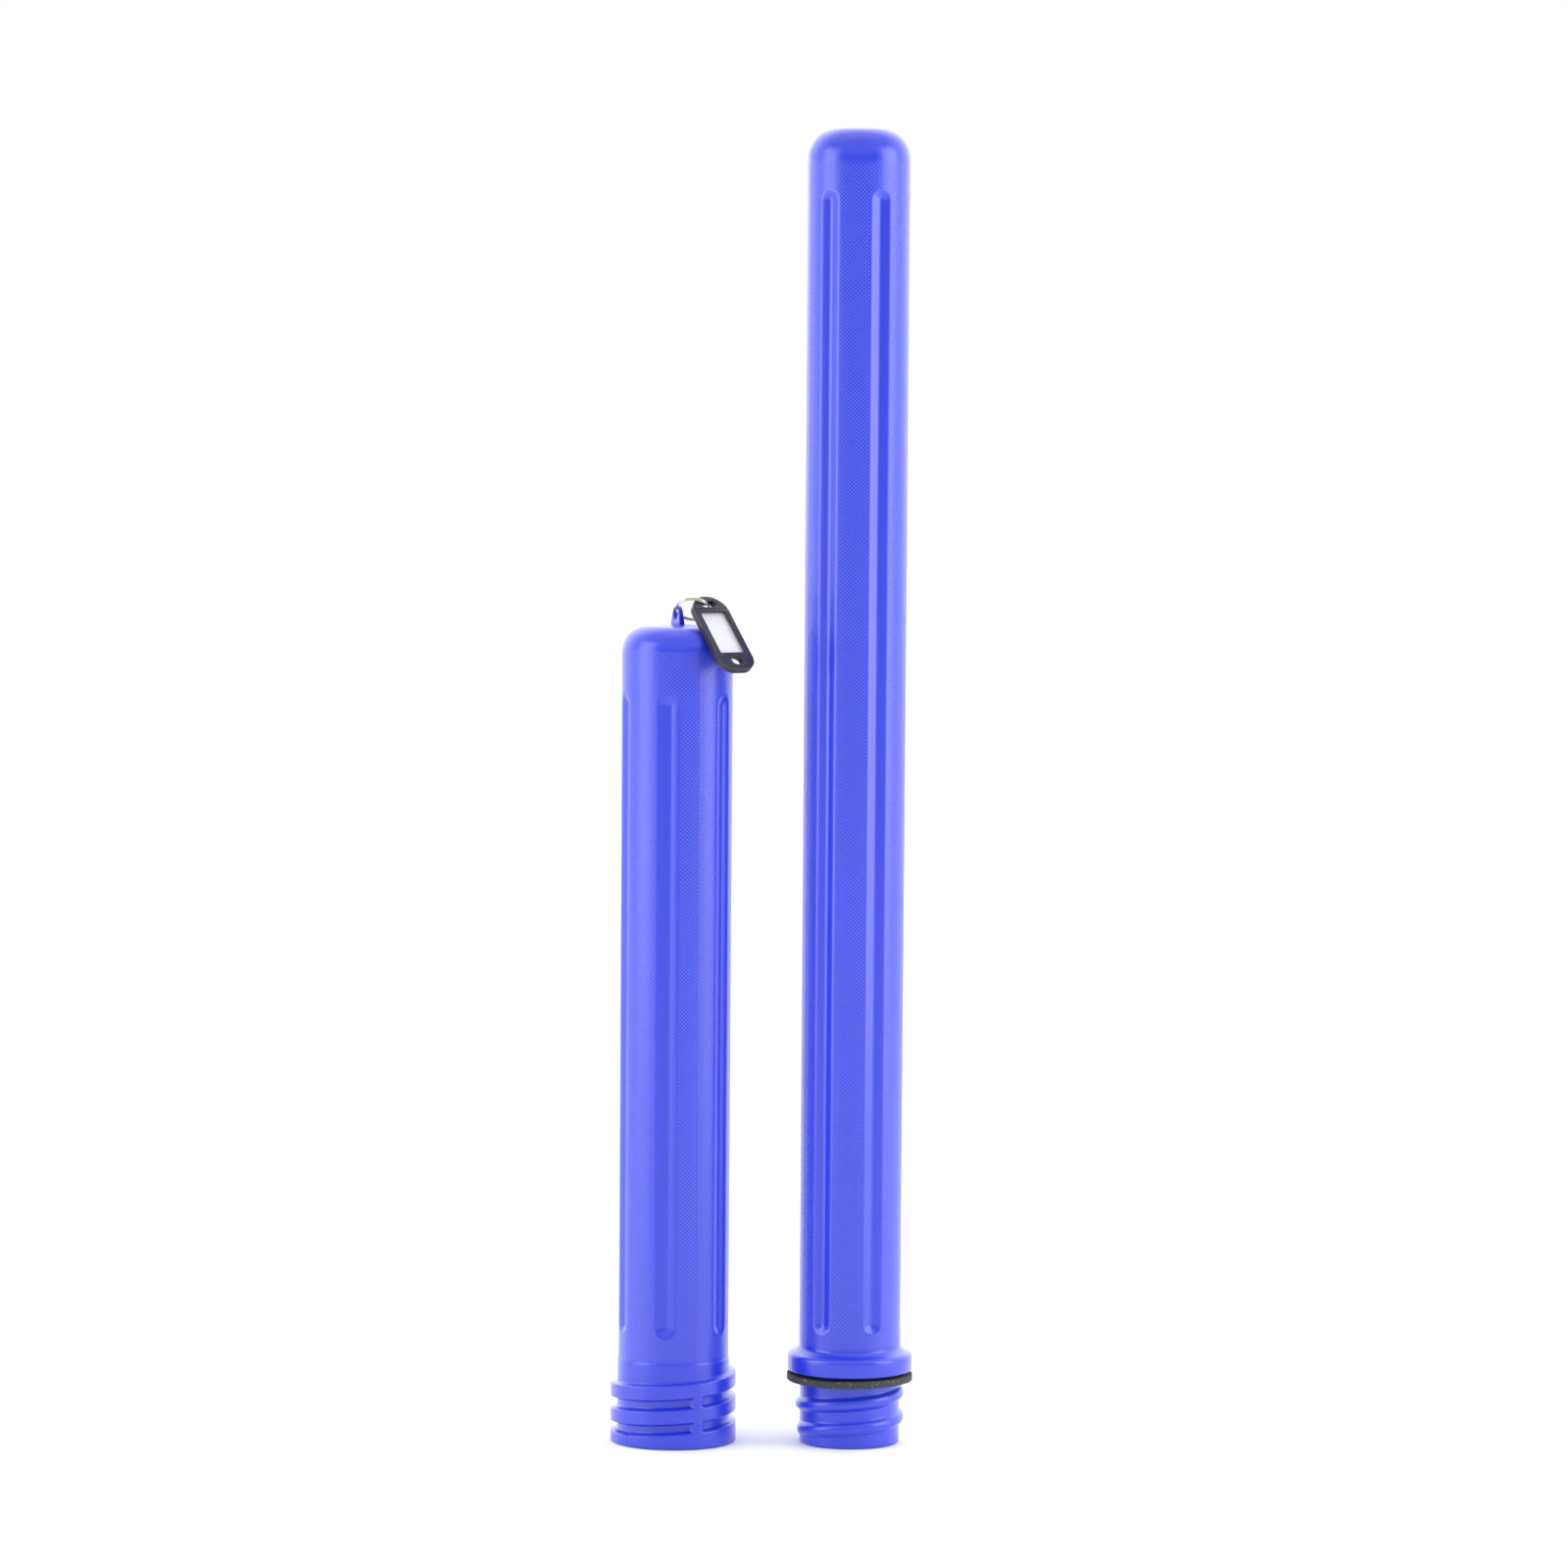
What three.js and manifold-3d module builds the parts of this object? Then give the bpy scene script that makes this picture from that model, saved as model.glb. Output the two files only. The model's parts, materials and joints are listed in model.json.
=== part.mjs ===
// Two-part drawing tube: a long half with a screw neck and a short half with a screw socket,
// both blow-moulded with a closed dome, a rubber sealing ring on the neck, and a key tag that
// hangs from an eye on the short half by a split ring. The halves stand side by side, mouths down.
// Millimetres, +Z up, origin at the bottom centre of the whole set.
// Azimuths are in degrees round a tube's axis: 0 faces -Y, and they grow towards +X.

import * as THREE from "three";
import { mergeVertices } from "three/addons/utils/BufferGeometryUtils.js";
import Module from "manifold-3d";

const wasm = await Module();
wasm.setup();

// ---------------------------------------------------------------- driving dimensions

const WALL = 2.3;                // moulded wall of both halves
const TUBE_GAP = 30;             // between the two mouths as they stand
const EDGE = 0.8;                // small bevel on moulded edges
const SINK = 0.5;                // how far a moulded feature runs into its wall

const LONG_HEIGHT = 772;
const LONG_RADIUS = 30;          // barrel; the screw and the short half follow from it
const LONG_DOME = { width: 17, height: 18, rise: 1.2 };  // rounded corner, and the crown above

const NECK_RADIUS = LONG_RADIUS - 0.7;
const NECK_LENGTH = 43;          // mouth to the flange's underside
const FLANGE_OVERHANG = 7.4;     // past the neck
const FLANGE_RADIUS = NECK_RADIUS + FLANGE_OVERHANG;
const FLANGE_HEIGHT = 11;
const FLANGE_EDGE = 2.6;         // rounded upper edge
const SHOULDER_HEIGHT = 2.2;     // slope from the flange up to the barrel

const SEAL_THICKNESS = 4;
const SEAL_DROP = 2;             // gap between the flange and the ring that has slid down
const SEAL_OVERHANG = 0.3;       // past the flange's edge
const SEAL_CLEARANCE = 0.35;     // round the neck, inside the ring
const SEAL_BOTTOM = NECK_LENGTH - SEAL_DROP - SEAL_THICKNESS;

const THREAD_PITCH = 14.5;
const THREAD_HEIGHT = 2.7;       // crest above the neck
const THREAD_SECTION_RADIUS = 3.8;
const THREAD_START = -110;       // azimuth of the lower end
const THREAD_START_Z = 7.5;      // height of the crest there
const THREAD_TO_SEAL = 4.56;     // crest's upper end to the ring
const THREAD_RUN_OUT = 40;       // degrees over which each end sinks into the neck
const THREAD_TURNS = (SEAL_BOTTOM - THREAD_TO_SEAL - THREAD_START_Z) / THREAD_PITCH;
const THREAD_CLEARANCE = 0.9;    // between the neck's thread and the socket's groove

const SOCKET_CLEARANCE = 1;      // between the neck and the socket
const SOCKET_WALL = 2.7;
const COLLAR_STEP = 0.5;         // from the collar down to the barrel
const SOCKET_RADIUS = NECK_RADIUS + SOCKET_CLEARANCE;
const COLLAR_RADIUS = SOCKET_RADIUS + SOCKET_WALL;  // also the floor between the ribs
const COLLAR_TOP = NECK_LENGTH + 7;

const SHORT_HEIGHT = 482;
const SHORT_RADIUS = COLLAR_RADIUS - COLLAR_STEP;
const SHORT_DOME = { width: 15, height: 14.5, rise: 1 };

const RIB_HEIGHT = 4;
const RIB_RADIUS = COLLAR_RADIUS + RIB_HEIGHT;
const RIB_WIDTH = 9.1;
const RIB_EDGE = 1;
const RIB_START = 0;             // azimuth where the lowest rib leaves the rim
const RIB_START_Z = 4.9;
const RIB_TO_COLLAR_TOP = 8.85;  // middle of the rib's upper end to the collar's top
const RIB_RUN_OUT = 25;
const RIB_TURNS = (COLLAR_TOP - RIB_TO_COLLAR_TOP - RIB_START_Z) / THREAD_PITCH;
const RIM_HEIGHT = 7.2;
const RIM_THICKNESS = 3;
const BAR_WIDTH = 6.8;           // upright bar across the valleys at each parting line
const BAR_EDGE = 0.4;
const GROOVE_INSET = 36;         // degrees by which the socket's groove starts after the rib
const GROOVE_EDGE = 2.2;

const FLUTE_WIDTH = 12.3;
const FLUTE_DEPTH = 1.8;
const FLUTE_ANGLES = [-152.5, -92.5, -32.5, 32.5, 92.5, 152.5];  // from the parting line
const LONG_FLUTE_FROM_SHOULDER = 11;
const LONG_FLUTE_TO_TOP = 37;
const SHORT_FLUTE_FROM_COLLAR = 15;
const SHORT_FLUTE_TO_TOP = 40;

const LONG_PARTING = -67.3;      // azimuth of each half's parting line
const SHORT_PARTING = 24.8;

const RING_RADIUS = 9.9;         // middle of the wire
const WIRE_RADIUS = 0.5;
const RING_TURNS = 1.93;
const RING_TURN_GAP = 0.12;      // between the two turns of wire
const RING_SPLIT = 100;          // degrees from the tag to the wire's first end
const RING_TILT = 35;            // degrees, front side raised
const RING_BUNDLE = 4 * WIRE_RADIUS + RING_TURN_GAP;
const RING_DIRECTION = new THREE.Vector3(17.5, -7.6, 5.2).normalize();  // from eye to tag

const EYE_HOLE_CLEARANCE = 2.5;  // round the two turns of wire
const EYE_HOLE_RADIUS = RING_BUNDLE / 2 + EYE_HOLE_CLEARANCE;
const EYE_HOLE_FOOT = 2.6;       // solid foot under the hole
const EYE_SIDE = 1.5;            // beside the hole
const EYE_CROWN = 1.1;           // above the hole
const EYE_FLARE = 1.5;           // how far the foot widens on each side
const EYE_THICKNESS = 2.6;
const EYE_HOLE_RISE = EYE_HOLE_FOOT + EYE_HOLE_RADIUS;

const TAG_WIDTH = 24;
const TAG_LENGTH = 57;
const TAG_THICKNESS = 4;
const TAG_TOP_ROUND = 13;        // length of the rounded upper end
const TAG_CORNER = 9;            // lower corners
const TAG_SPLIT = 0.3;           // between the back and the flap
const TAG_ACROSS = new THREE.Vector3(0.833, 0.553, 0).normalize();
const TAG_FACE_AHEAD = 1.6 - WIRE_RADIUS;  // the tag's face past the wire's middle in its slot
const TAG_BEHIND_RING = TAG_THICKNESS / 2 - TAG_FACE_AHEAD;
const TAG_CLEARANCE = 0.3;       // between the tag's back and the dome it leans on
const WIRE_SLANT = 1.75;         // how far the wire runs along the slot for its depth
const WIRE_RISE = 0.5;           // and up the tag
const SLOT_CLEARANCE = 0.3;      // round the two turns of wire
const SLOT_WIDTH = RING_BUNDLE + WIRE_SLANT * TAG_THICKNESS + 2 * SLOT_CLEARANCE;
const SLOT_HEIGHT = RING_BUNDLE + WIRE_RISE * TAG_THICKNESS + 2 * SLOT_CLEARANCE;
const SLOT_FROM_TOP = 6;
const HINGE_BELOW_SLOT = 1.3;    // crease where the flap starts
const TAG_HINGE_FROM_TOP = SLOT_FROM_TOP + SLOT_HEIGHT / 2 + HINGE_BELOW_SLOT;
const TAG_HOLE_RADIUS = 3.7;
const TAG_HOLE_EDGE = 3.8;       // below the hole
const FRAME_SIDE = 3.75;         // frame beside the window
const FRAME_TOP = 2.35;          // between the crease and the window
const FRAME_BOTTOM = 1.8;        // between the window and the hole
const INSERT_MARGIN = 1;         // card and window sheet beyond the frame's opening
const INSERT_CLEARANCE = 0.3;
const CARD_THICKNESS = 0.4;
const SHEET_THICKNESS = 0.6;
const TAG_FLOOR = 0.9;           // back plate left under the card

const ROUND_SEGMENTS = 40;
const DOME_STEPS = 7;
const THREAD_STEPS = 25;         // for each turn of a thread or rib
const RING_STEPS = 33;
const THREAD_SIDES = 12;
const WIRE_SIDES = 8;
const HOLE_SIDES = 24;
const CURVE_SEGMENTS = 9;        // for each corner of a flat outline
const FLUTE_SEGMENTS = 32;
const OVERSHOOT = 1;             // how far a cutting body reaches past what it cuts

const BLUE = 0x3a4be0;
const RUBBER = 0x2c2c2e;
const NICKEL = 0xc9c6bf;
const BLACK = 0x26242a;
const PAPER = 0xf4f4f6;
const CLEAR = 0xeef2f6;

// ---------------------------------------------------------------- solids and meshes

function solid(geometry) {
  const bare = geometry.clone();
  bare.deleteAttribute("normal");
  bare.deleteAttribute("uv");
  const merged = mergeVertices(bare, 1e-4);
  const points = merged.attributes.position;
  const corner = [new THREE.Vector3(), new THREE.Vector3(), new THREE.Vector3()];
  const triangles = [];
  let volume = 0;
  for (let i = 0; i < merged.index.count; i += 3) {
    const [a, b, c] = [0, 1, 2].map((k) => merged.index.getX(i + k));
    if (a === b || b === c || c === a) continue;
    triangles.push([a, b, c]);
    [a, b, c].forEach((vertex, k) => corner[k].fromBufferAttribute(points, vertex));
    volume += corner[0].dot(corner[1].clone().cross(corner[2]));
  }
  if (volume < 0) triangles.forEach((triangle) => triangle.reverse());
  return new wasm.Manifold(new wasm.Mesh({
    numProp: 3,
    vertProperties: Float32Array.from(points.array),
    triVerts: Uint32Array.from(triangles.flat()),
  }));
}

function part(name, body, color, roughness, metalness = 0, opacity = 1) {
  const result = body.getMesh();
  const geometry = new THREE.BufferGeometry();
  geometry.setAttribute("position", new THREE.BufferAttribute(result.vertProperties, 3));
  geometry.setIndex(new THREE.BufferAttribute(result.triVerts, 1));
  geometry.computeVertexNormals();
  const material = new THREE.MeshStandardMaterial({ color, roughness, metalness });
  material.opacity = opacity;
  material.transparent = opacity < 1;
  const mesh = new THREE.Mesh(geometry, material);
  mesh.name = name;
  return mesh;
}

function turned(profile) {
  const points = profile.map(([radius, height]) => new THREE.Vector2(radius, height));
  return solid(new THREE.LatheGeometry(points, ROUND_SEGMENTS).rotateX(Math.PI / 2));
}

// A section drawn as (radius, height) and swept round the axis while it climbs by the pitch.
// The ends sink from the full section to the root radius over the run-out.
function swept(section, steps, start, turns, pitch, root, runOut) {
  const geometry = new THREE.ExtrudeGeometry(section, { depth: 1, steps, bevelEnabled: false });
  const points = geometry.attributes.position;
  const sweep = turns * 360;
  for (let i = 0; i < points.count; i += 1) {
    const along = points.getZ(i) * sweep;
    const ends = runOut > 0 ? Math.min(1, along / runOut, (sweep - along) / runOut) : 1;
    const full = Math.sin(THREE.MathUtils.clamp(ends, 0, 1) * Math.PI / 2);
    const radius = root + (points.getX(i) - root) * (points.getX(i) > root ? full : 1);
    const azimuth = THREE.MathUtils.degToRad(start + along);
    const height = points.getY(i) + pitch * along / 360;
    points.setXYZ(i, radius * Math.sin(azimuth), -radius * Math.cos(azimuth), height);
  }
  return solid(geometry);
}

function roundShape(radius, centreX, centreY, sides) {
  const circle = new THREE.Shape();
  circle.absarc(centreX, centreY, radius, 0, Math.PI * 2);
  return new THREE.Shape(circle.getPoints(sides / 2));
}

// ---------------------------------------------------------------- the two moulded halves

// Outline of a dome from the barrel to the axis: a rounded corner, then a shallow crown.
function dome(radius, top, { width, height, rise }) {
  const flat = radius - width;
  const outline = [];
  for (let i = 0; i <= DOME_STEPS; i += 1) {
    const angle = i / DOME_STEPS * Math.PI / 2;
    outline.push([flat + width * Math.cos(angle), top - rise - height * (1 - Math.sin(angle))]);
  }
  outline.push([flat / 2, top - rise / 4], [0, top]);
  return outline;
}

// The same dome on the inside of its wall.
function innerDome(radius, top, { width, height, rise }) {
  return dome(radius - WALL, top - WALL, { width: width - WALL, height: height - WALL, rise });
}

// The tool that presses one flute: its radius and how far its axis lies from the tube's axis.
function fluteTool(radius) {
  const half = FLUTE_WIDTH / 2;
  const floor = radius - FLUTE_DEPTH;
  const edge = Math.sqrt(radius ** 2 - half ** 2) - floor;
  const tool = (edge ** 2 + half ** 2) / (2 * edge);
  return { tool, distance: floor + tool };
}

function flutes(radius, bottom, top, parting, thickness) {
  const { tool, distance } = fluteTool(radius);
  const overrun = Math.sqrt(tool ** 2 - (distance - radius) ** 2);
  const straight = top - bottom - 2 * overrun;
  const rounding = FLUTE_SEGMENTS / 4;
  const body = new THREE.CapsuleGeometry(tool + thickness, straight, rounding, FLUTE_SEGMENTS);
  body.rotateX(Math.PI / 2);
  return FLUTE_ANGLES.map((angle) => {
    const azimuth = THREE.MathUtils.degToRad(parting + angle);
    const cutter = body.clone().rotateZ(azimuth);
    const x = distance * Math.sin(azimuth);
    const y = -distance * Math.cos(azimuth);
    return solid(cutter.translate(x, y, (bottom + top) / 2));
  });
}

// Outside and bore are fluted alike, so the wall keeps its thickness under every flute.
function flutedHalf(outside, bore, radius, bottom, top, parting) {
  const less = (body, tool) => body.subtract(tool);
  const shell = flutes(radius, bottom, top, parting, 0).reduce(less, outside);
  return shell.subtract(flutes(radius, bottom, top, parting, WALL).reduce(less, bore));
}

function longTube() {
  const flangeTop = NECK_LENGTH + FLANGE_HEIGHT;
  const barrelStart = flangeTop + SHOULDER_HEIGHT;
  const edgeRadius = FLANGE_RADIUS - FLANGE_EDGE;
  const outline = [
    [0, 0],
    [NECK_RADIUS - EDGE, 0],
    [NECK_RADIUS, EDGE],
    [NECK_RADIUS, NECK_LENGTH],
    [FLANGE_RADIUS - EDGE, NECK_LENGTH],
    [FLANGE_RADIUS, NECK_LENGTH + EDGE],
    [FLANGE_RADIUS, flangeTop - FLANGE_EDGE],
    [edgeRadius + FLANGE_EDGE * Math.SQRT1_2, flangeTop - FLANGE_EDGE * (1 - Math.SQRT1_2)],
    [edgeRadius, flangeTop],
    [LONG_RADIUS, barrelStart],
    ...dome(LONG_RADIUS, LONG_HEIGHT, LONG_DOME),
  ];
  const neckBore = NECK_RADIUS - WALL;
  const hollow = [
    [0, -OVERSHOOT],
    [neckBore, -OVERSHOOT],
    [neckBore, NECK_LENGTH + WALL],
    [FLANGE_RADIUS - WALL, NECK_LENGTH + WALL],
    [FLANGE_RADIUS - WALL, flangeTop - FLANGE_EDGE],
    [edgeRadius - WALL, flangeTop - WALL / 2],
    [LONG_RADIUS - WALL, barrelStart],
    ...innerDome(LONG_RADIUS, LONG_HEIGHT, LONG_DOME),
  ];
  const ridgeCentre = NECK_RADIUS + THREAD_HEIGHT - THREAD_SECTION_RADIUS;
  const ridge = roundShape(THREAD_SECTION_RADIUS, ridgeCentre, THREAD_START_Z, THREAD_SIDES);
  const steps = Math.round(THREAD_TURNS * THREAD_STEPS);
  const root = NECK_RADIUS - SINK;
  const thread = swept(ridge, steps, THREAD_START, THREAD_TURNS, THREAD_PITCH, root, THREAD_RUN_OUT);
  const outside = turned(outline).add(thread);
  const bottom = barrelStart + LONG_FLUTE_FROM_SHOULDER;
  const top = LONG_HEIGHT - LONG_FLUTE_TO_TOP;
  return flutedHalf(outside, turned(hollow), LONG_RADIUS, bottom, top, LONG_PARTING);
}

function ribSection(width, inner, outer, edge) {
  const shape = new THREE.Shape();
  const half = width / 2;
  shape.moveTo(inner, -half);
  shape.lineTo(outer - edge, -half);
  shape.lineTo(outer, -half + edge);
  shape.lineTo(outer, half - edge);
  shape.lineTo(outer - edge, half);
  shape.lineTo(inner, half);
  shape.closePath();
  return shape;
}

function raised(shape, height) {
  const points = shape.getPoints().map((point) => new THREE.Vector2(point.x, point.y + height));
  return new THREE.Shape(points);
}

// Upright bar at a parting line, from the rim to the highest rib that crosses it.
function partingBar(azimuth) {
  const turnsAbove = Math.floor(RIB_TURNS - (azimuth - RIB_START) / 360);
  const top = RIB_START_Z + THREAD_PITCH * (turnsAbove + (azimuth - RIB_START) / 360);
  const foot = RIM_HEIGHT / 2;
  const bar = ribSection(top - foot, COLLAR_RADIUS - SINK, RIB_RADIUS, BAR_EDGE);
  const turn = BAR_WIDTH / (2 * Math.PI * RIB_RADIUS);
  return swept(raised(bar, (top + foot) / 2), 2, azimuth - turn * 180, turn, 0, COLLAR_RADIUS, 0);
}

function eye(parting) {
  const half = EYE_HOLE_RADIUS + EYE_SIDE;
  const crown = EYE_HOLE_RISE + EYE_HOLE_RADIUS + EYE_CROWN;
  const foot = -SHORT_DOME.rise / 2 - SINK;
  const outline = new THREE.Shape();
  outline.moveTo(-half - EYE_FLARE, foot);
  outline.lineTo(half + EYE_FLARE, foot);
  outline.lineTo(half, crown - half);
  outline.absarc(0, crown - half, half, 0, Math.PI);
  outline.closePath();
  const hole = new THREE.Path();
  hole.absarc(0, EYE_HOLE_RISE, EYE_HOLE_RADIUS, 0, Math.PI * 2, true);
  outline.holes.push(hole);
  const plate = new THREE.ExtrudeGeometry(outline, {
    depth: EYE_THICKNESS,
    bevelEnabled: false,
    curveSegments: CURVE_SEGMENTS,
  });
  plate.translate(0, 0, -EYE_THICKNESS / 2).rotateX(Math.PI / 2);
  plate.rotateZ(THREE.MathUtils.degToRad(parting - 90)).translate(0, 0, SHORT_HEIGHT);
  return solid(plate);
}

function helix(section, start, turns, root) {
  const steps = Math.round(turns * THREAD_STEPS);
  return swept(section, steps, start, turns, THREAD_PITCH, root, RIB_RUN_OUT);
}

// Inside the ribs, the groove that the neck's thread runs in.
function socketGroove() {
  const crest = NECK_RADIUS + THREAD_HEIGHT + THREAD_CLEARANCE;
  const width = 2 * THREAD_SECTION_RADIUS + THREAD_CLEARANCE;
  const section = ribSection(width, SOCKET_RADIUS - OVERSHOOT, crest, GROOVE_EDGE);
  const inset = GROOVE_INSET / 360;
  const height = RIB_START_Z + THREAD_PITCH * inset;
  const turns = RIB_TURNS - 2 * inset;
  return helix(raised(section, height), RIB_START + GROOVE_INSET, turns, SOCKET_RADIUS - OVERSHOOT);
}

function shortTube() {
  const outline = [
    [0, 0],
    [RIB_RADIUS - EDGE, 0],
    [RIB_RADIUS, EDGE],
    [RIB_RADIUS, RIM_HEIGHT - EDGE],
    [RIB_RADIUS - EDGE, RIM_HEIGHT],
    [COLLAR_RADIUS, RIM_HEIGHT],
    [COLLAR_RADIUS, COLLAR_TOP - EDGE],
    [SHORT_RADIUS, COLLAR_TOP],
    ...dome(SHORT_RADIUS, SHORT_HEIGHT, SHORT_DOME),
  ];
  const mouth = RIB_RADIUS - RIM_THICKNESS;
  const hollow = [
    [0, -OVERSHOOT],
    [mouth, -OVERSHOOT],
    [mouth, RIM_HEIGHT - RIM_THICKNESS],
    [SOCKET_RADIUS, RIM_HEIGHT],
    [SOCKET_RADIUS, COLLAR_TOP - WALL],
    [SHORT_RADIUS - WALL, COLLAR_TOP],
    ...innerDome(SHORT_RADIUS, SHORT_HEIGHT, SHORT_DOME),
  ];
  const rib = raised(ribSection(RIB_WIDTH, COLLAR_RADIUS - SINK, RIB_RADIUS, RIB_EDGE), RIB_START_Z);
  const ribs = helix(rib, RIB_START, RIB_TURNS, COLLAR_RADIUS - SINK);
  const eyeAndBars = [partingBar(SHORT_PARTING), partingBar(SHORT_PARTING + 180), eye(SHORT_PARTING)];
  const outside = eyeAndBars.reduce((body, piece) => body.add(piece), turned(outline).add(ribs));
  const bottom = COLLAR_TOP + SHORT_FLUTE_FROM_COLLAR;
  const top = SHORT_HEIGHT - SHORT_FLUTE_TO_TOP;
  const half = flutedHalf(outside, turned(hollow), SHORT_RADIUS, bottom, top, SHORT_PARTING);
  return half.subtract(socketGroove());
}

// ---------------------------------------------------------------- sealing ring

function sealingRing() {
  const inner = NECK_RADIUS + SEAL_CLEARANCE;
  const outer = FLANGE_RADIUS + SEAL_OVERHANG;
  const top = SEAL_BOTTOM + SEAL_THICKNESS;
  const bevel = EDGE / 2;
  return turned([
    [inner, SEAL_BOTTOM],
    [outer - bevel, SEAL_BOTTOM],
    [outer, SEAL_BOTTOM + bevel],
    [outer, top - bevel],
    [outer - bevel, top],
    [inner, top],
    [inner, SEAL_BOTTOM],
  ]);
}

// ---------------------------------------------------------------- split ring and key tag

const eyeHole = new THREE.Vector3(0, 0, EYE_HOLE_RISE);
const slotCentre = eyeHole.clone().addScaledVector(RING_DIRECTION, 2 * RING_RADIUS);

// Ring plane: one axis runs from the eye to the slot, the other rises towards the front.
function ringFrame() {
  const across = slotCentre.clone().sub(eyeHole).normalize();
  const level = new THREE.Vector3(across.y, -across.x, 0).normalize();
  const up = level.clone().cross(across).normalize();
  const tilt = THREE.MathUtils.degToRad(RING_TILT);
  const front = level.multiplyScalar(Math.cos(tilt)).addScaledVector(up, Math.sin(tilt));
  const centre = eyeHole.clone().add(slotCentre).multiplyScalar(0.5);
  const axis = across.clone().cross(front);
  return new THREE.Matrix4().makeBasis(across, front, axis).setPosition(centre);
}

function splitRing() {
  const pitch = 2 * WIRE_RADIUS + RING_TURN_GAP;
  const wire = roundShape(WIRE_RADIUS, RING_RADIUS, -pitch * RING_TURNS / 2, WIRE_SIDES);
  const steps = Math.round(RING_TURNS * RING_STEPS);
  return swept(wire, steps, RING_SPLIT, RING_TURNS, pitch, 0, 0);
}

function tagOutline() {
  const half = TAG_WIDTH / 2;
  const top = TAG_LENGTH / 2;
  const shape = new THREE.Shape();
  shape.moveTo(-half + TAG_CORNER, -top);
  shape.lineTo(half - TAG_CORNER, -top);
  shape.absarc(half - TAG_CORNER, -top + TAG_CORNER, TAG_CORNER, -Math.PI / 2, 0);
  shape.lineTo(half, top - TAG_TOP_ROUND);
  shape.absellipse(0, top - TAG_TOP_ROUND, half, TAG_TOP_ROUND, 0, Math.PI);
  shape.absarc(-half + TAG_CORNER, -top + TAG_CORNER, TAG_CORNER, Math.PI, Math.PI * 1.5);
  return shape;
}

function plate(shape, from, to) {
  const depth = to - from;
  const settings = { depth, bevelEnabled: false, curveSegments: CURVE_SEGMENTS };
  return solid(new THREE.ExtrudeGeometry(shape, settings).translate(0, 0, from));
}

function block(width, bottom, top, from, to) {
  const geometry = new THREE.BoxGeometry(width, top - bottom, to - from);
  return solid(geometry.translate(0, (bottom + top) / 2, (from + to) / 2));
}

function slotShape() {
  const half = (SLOT_WIDTH - SLOT_HEIGHT) / 2;
  const centre = TAG_LENGTH / 2 - SLOT_FROM_TOP;
  const shape = new THREE.Shape();
  shape.absarc(half, centre, SLOT_HEIGHT / 2, -Math.PI / 2, Math.PI / 2);
  shape.absarc(-half, centre, SLOT_HEIGHT / 2, Math.PI / 2, Math.PI * 1.5);
  return shape;
}

function tagPieces() {
  const face = TAG_THICKNESS / 2;
  const through = face + OVERSHOOT;
  const hinge = TAG_LENGTH / 2 - TAG_HINGE_FROM_TOP;
  const holeCentre = -TAG_LENGTH / 2 + TAG_HOLE_EDGE + TAG_HOLE_RADIUS;
  const windowTop = hinge - FRAME_TOP;
  const windowBottom = holeCentre + TAG_HOLE_RADIUS + FRAME_BOTTOM;
  const windowWidth = TAG_WIDTH - 2 * FRAME_SIDE;
  const hole = plate(roundShape(TAG_HOLE_RADIUS, 0, holeCentre, HOLE_SIDES), -through, through);
  const slot = plate(slotShape(), -through, through);
  const insert = (thickness, from) => block(
    windowWidth + 2 * INSERT_MARGIN,
    windowBottom - INSERT_MARGIN,
    windowTop + INSERT_MARGIN,
    from,
    from + thickness,
  );
  const pocket = (from, to) => block(
    windowWidth + 2 * (INSERT_MARGIN + INSERT_CLEARANCE),
    windowBottom - INSERT_MARGIN - INSERT_CLEARANCE,
    windowTop + INSERT_MARGIN + INSERT_CLEARANCE,
    from,
    to,
  );
  const cardFrom = -face + TAG_FLOOR + INSERT_CLEARANCE;
  const sheetFrom = TAG_SPLIT;
  const whole = plate(tagOutline(), -face, face).subtract(hole).subtract(slot);
  const flapSpace = block(2 * TAG_WIDTH, -TAG_LENGTH, hinge, 0, through);
  const flapRegion = block(2 * TAG_WIDTH, -TAG_LENGTH, hinge - TAG_SPLIT, TAG_SPLIT, through);
  const opening = block(windowWidth, windowBottom, windowTop, 0, through);
  const back = whole.subtract(flapSpace).subtract(pocket(-face + TAG_FLOOR, through));
  const flap = whole.intersect(flapRegion)
    .subtract(opening)
    .subtract(pocket(0, sheetFrom + SHEET_THICKNESS + INSERT_CLEARANCE));
  return [
    part("tag_back", back, BLACK, 0.45),
    part("tag_front", flap, BLACK, 0.4),
    part("label_card", insert(CARD_THICKNESS, cardFrom), PAPER, 0.8),
    part("tag_window", insert(SHEET_THICKNESS, sheetFrom), CLEAR, 0.15, 0, 0.35),
  ];
}

// The tag's outward direction at a lean of so many degrees from lying flat.
function tagNormal(lean) {
  const outwards = new THREE.Vector3(TAG_ACROSS.y, -TAG_ACROSS.x, 0);
  const turn = THREE.MathUtils.degToRad(lean);
  return outwards.multiplyScalar(Math.sin(turn)).setZ(Math.cos(turn));
}

// The tag hangs down until it leans on the dome: the steepest lean that stays clear of it.
function restingLean() {
  const outline = dome(SHORT_RADIUS, 0, SHORT_DOME);
  let [flat, steep] = [0, 90];
  while (steep - flat > 0.01) {
    const lean = (flat + steep) / 2;
    const normal = tagNormal(lean);
    const back = slotCentre.dot(normal) - TAG_BEHIND_RING - TAG_THICKNESS / 2;
    const sideways = Math.hypot(normal.x, normal.y);
    const reach = Math.max(...outline.map(([radius, z]) => radius * sideways + z * normal.z));
    if (back - reach > TAG_CLEARANCE) flat = lean;
    else steep = lean;
  }
  return flat;
}

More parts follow.
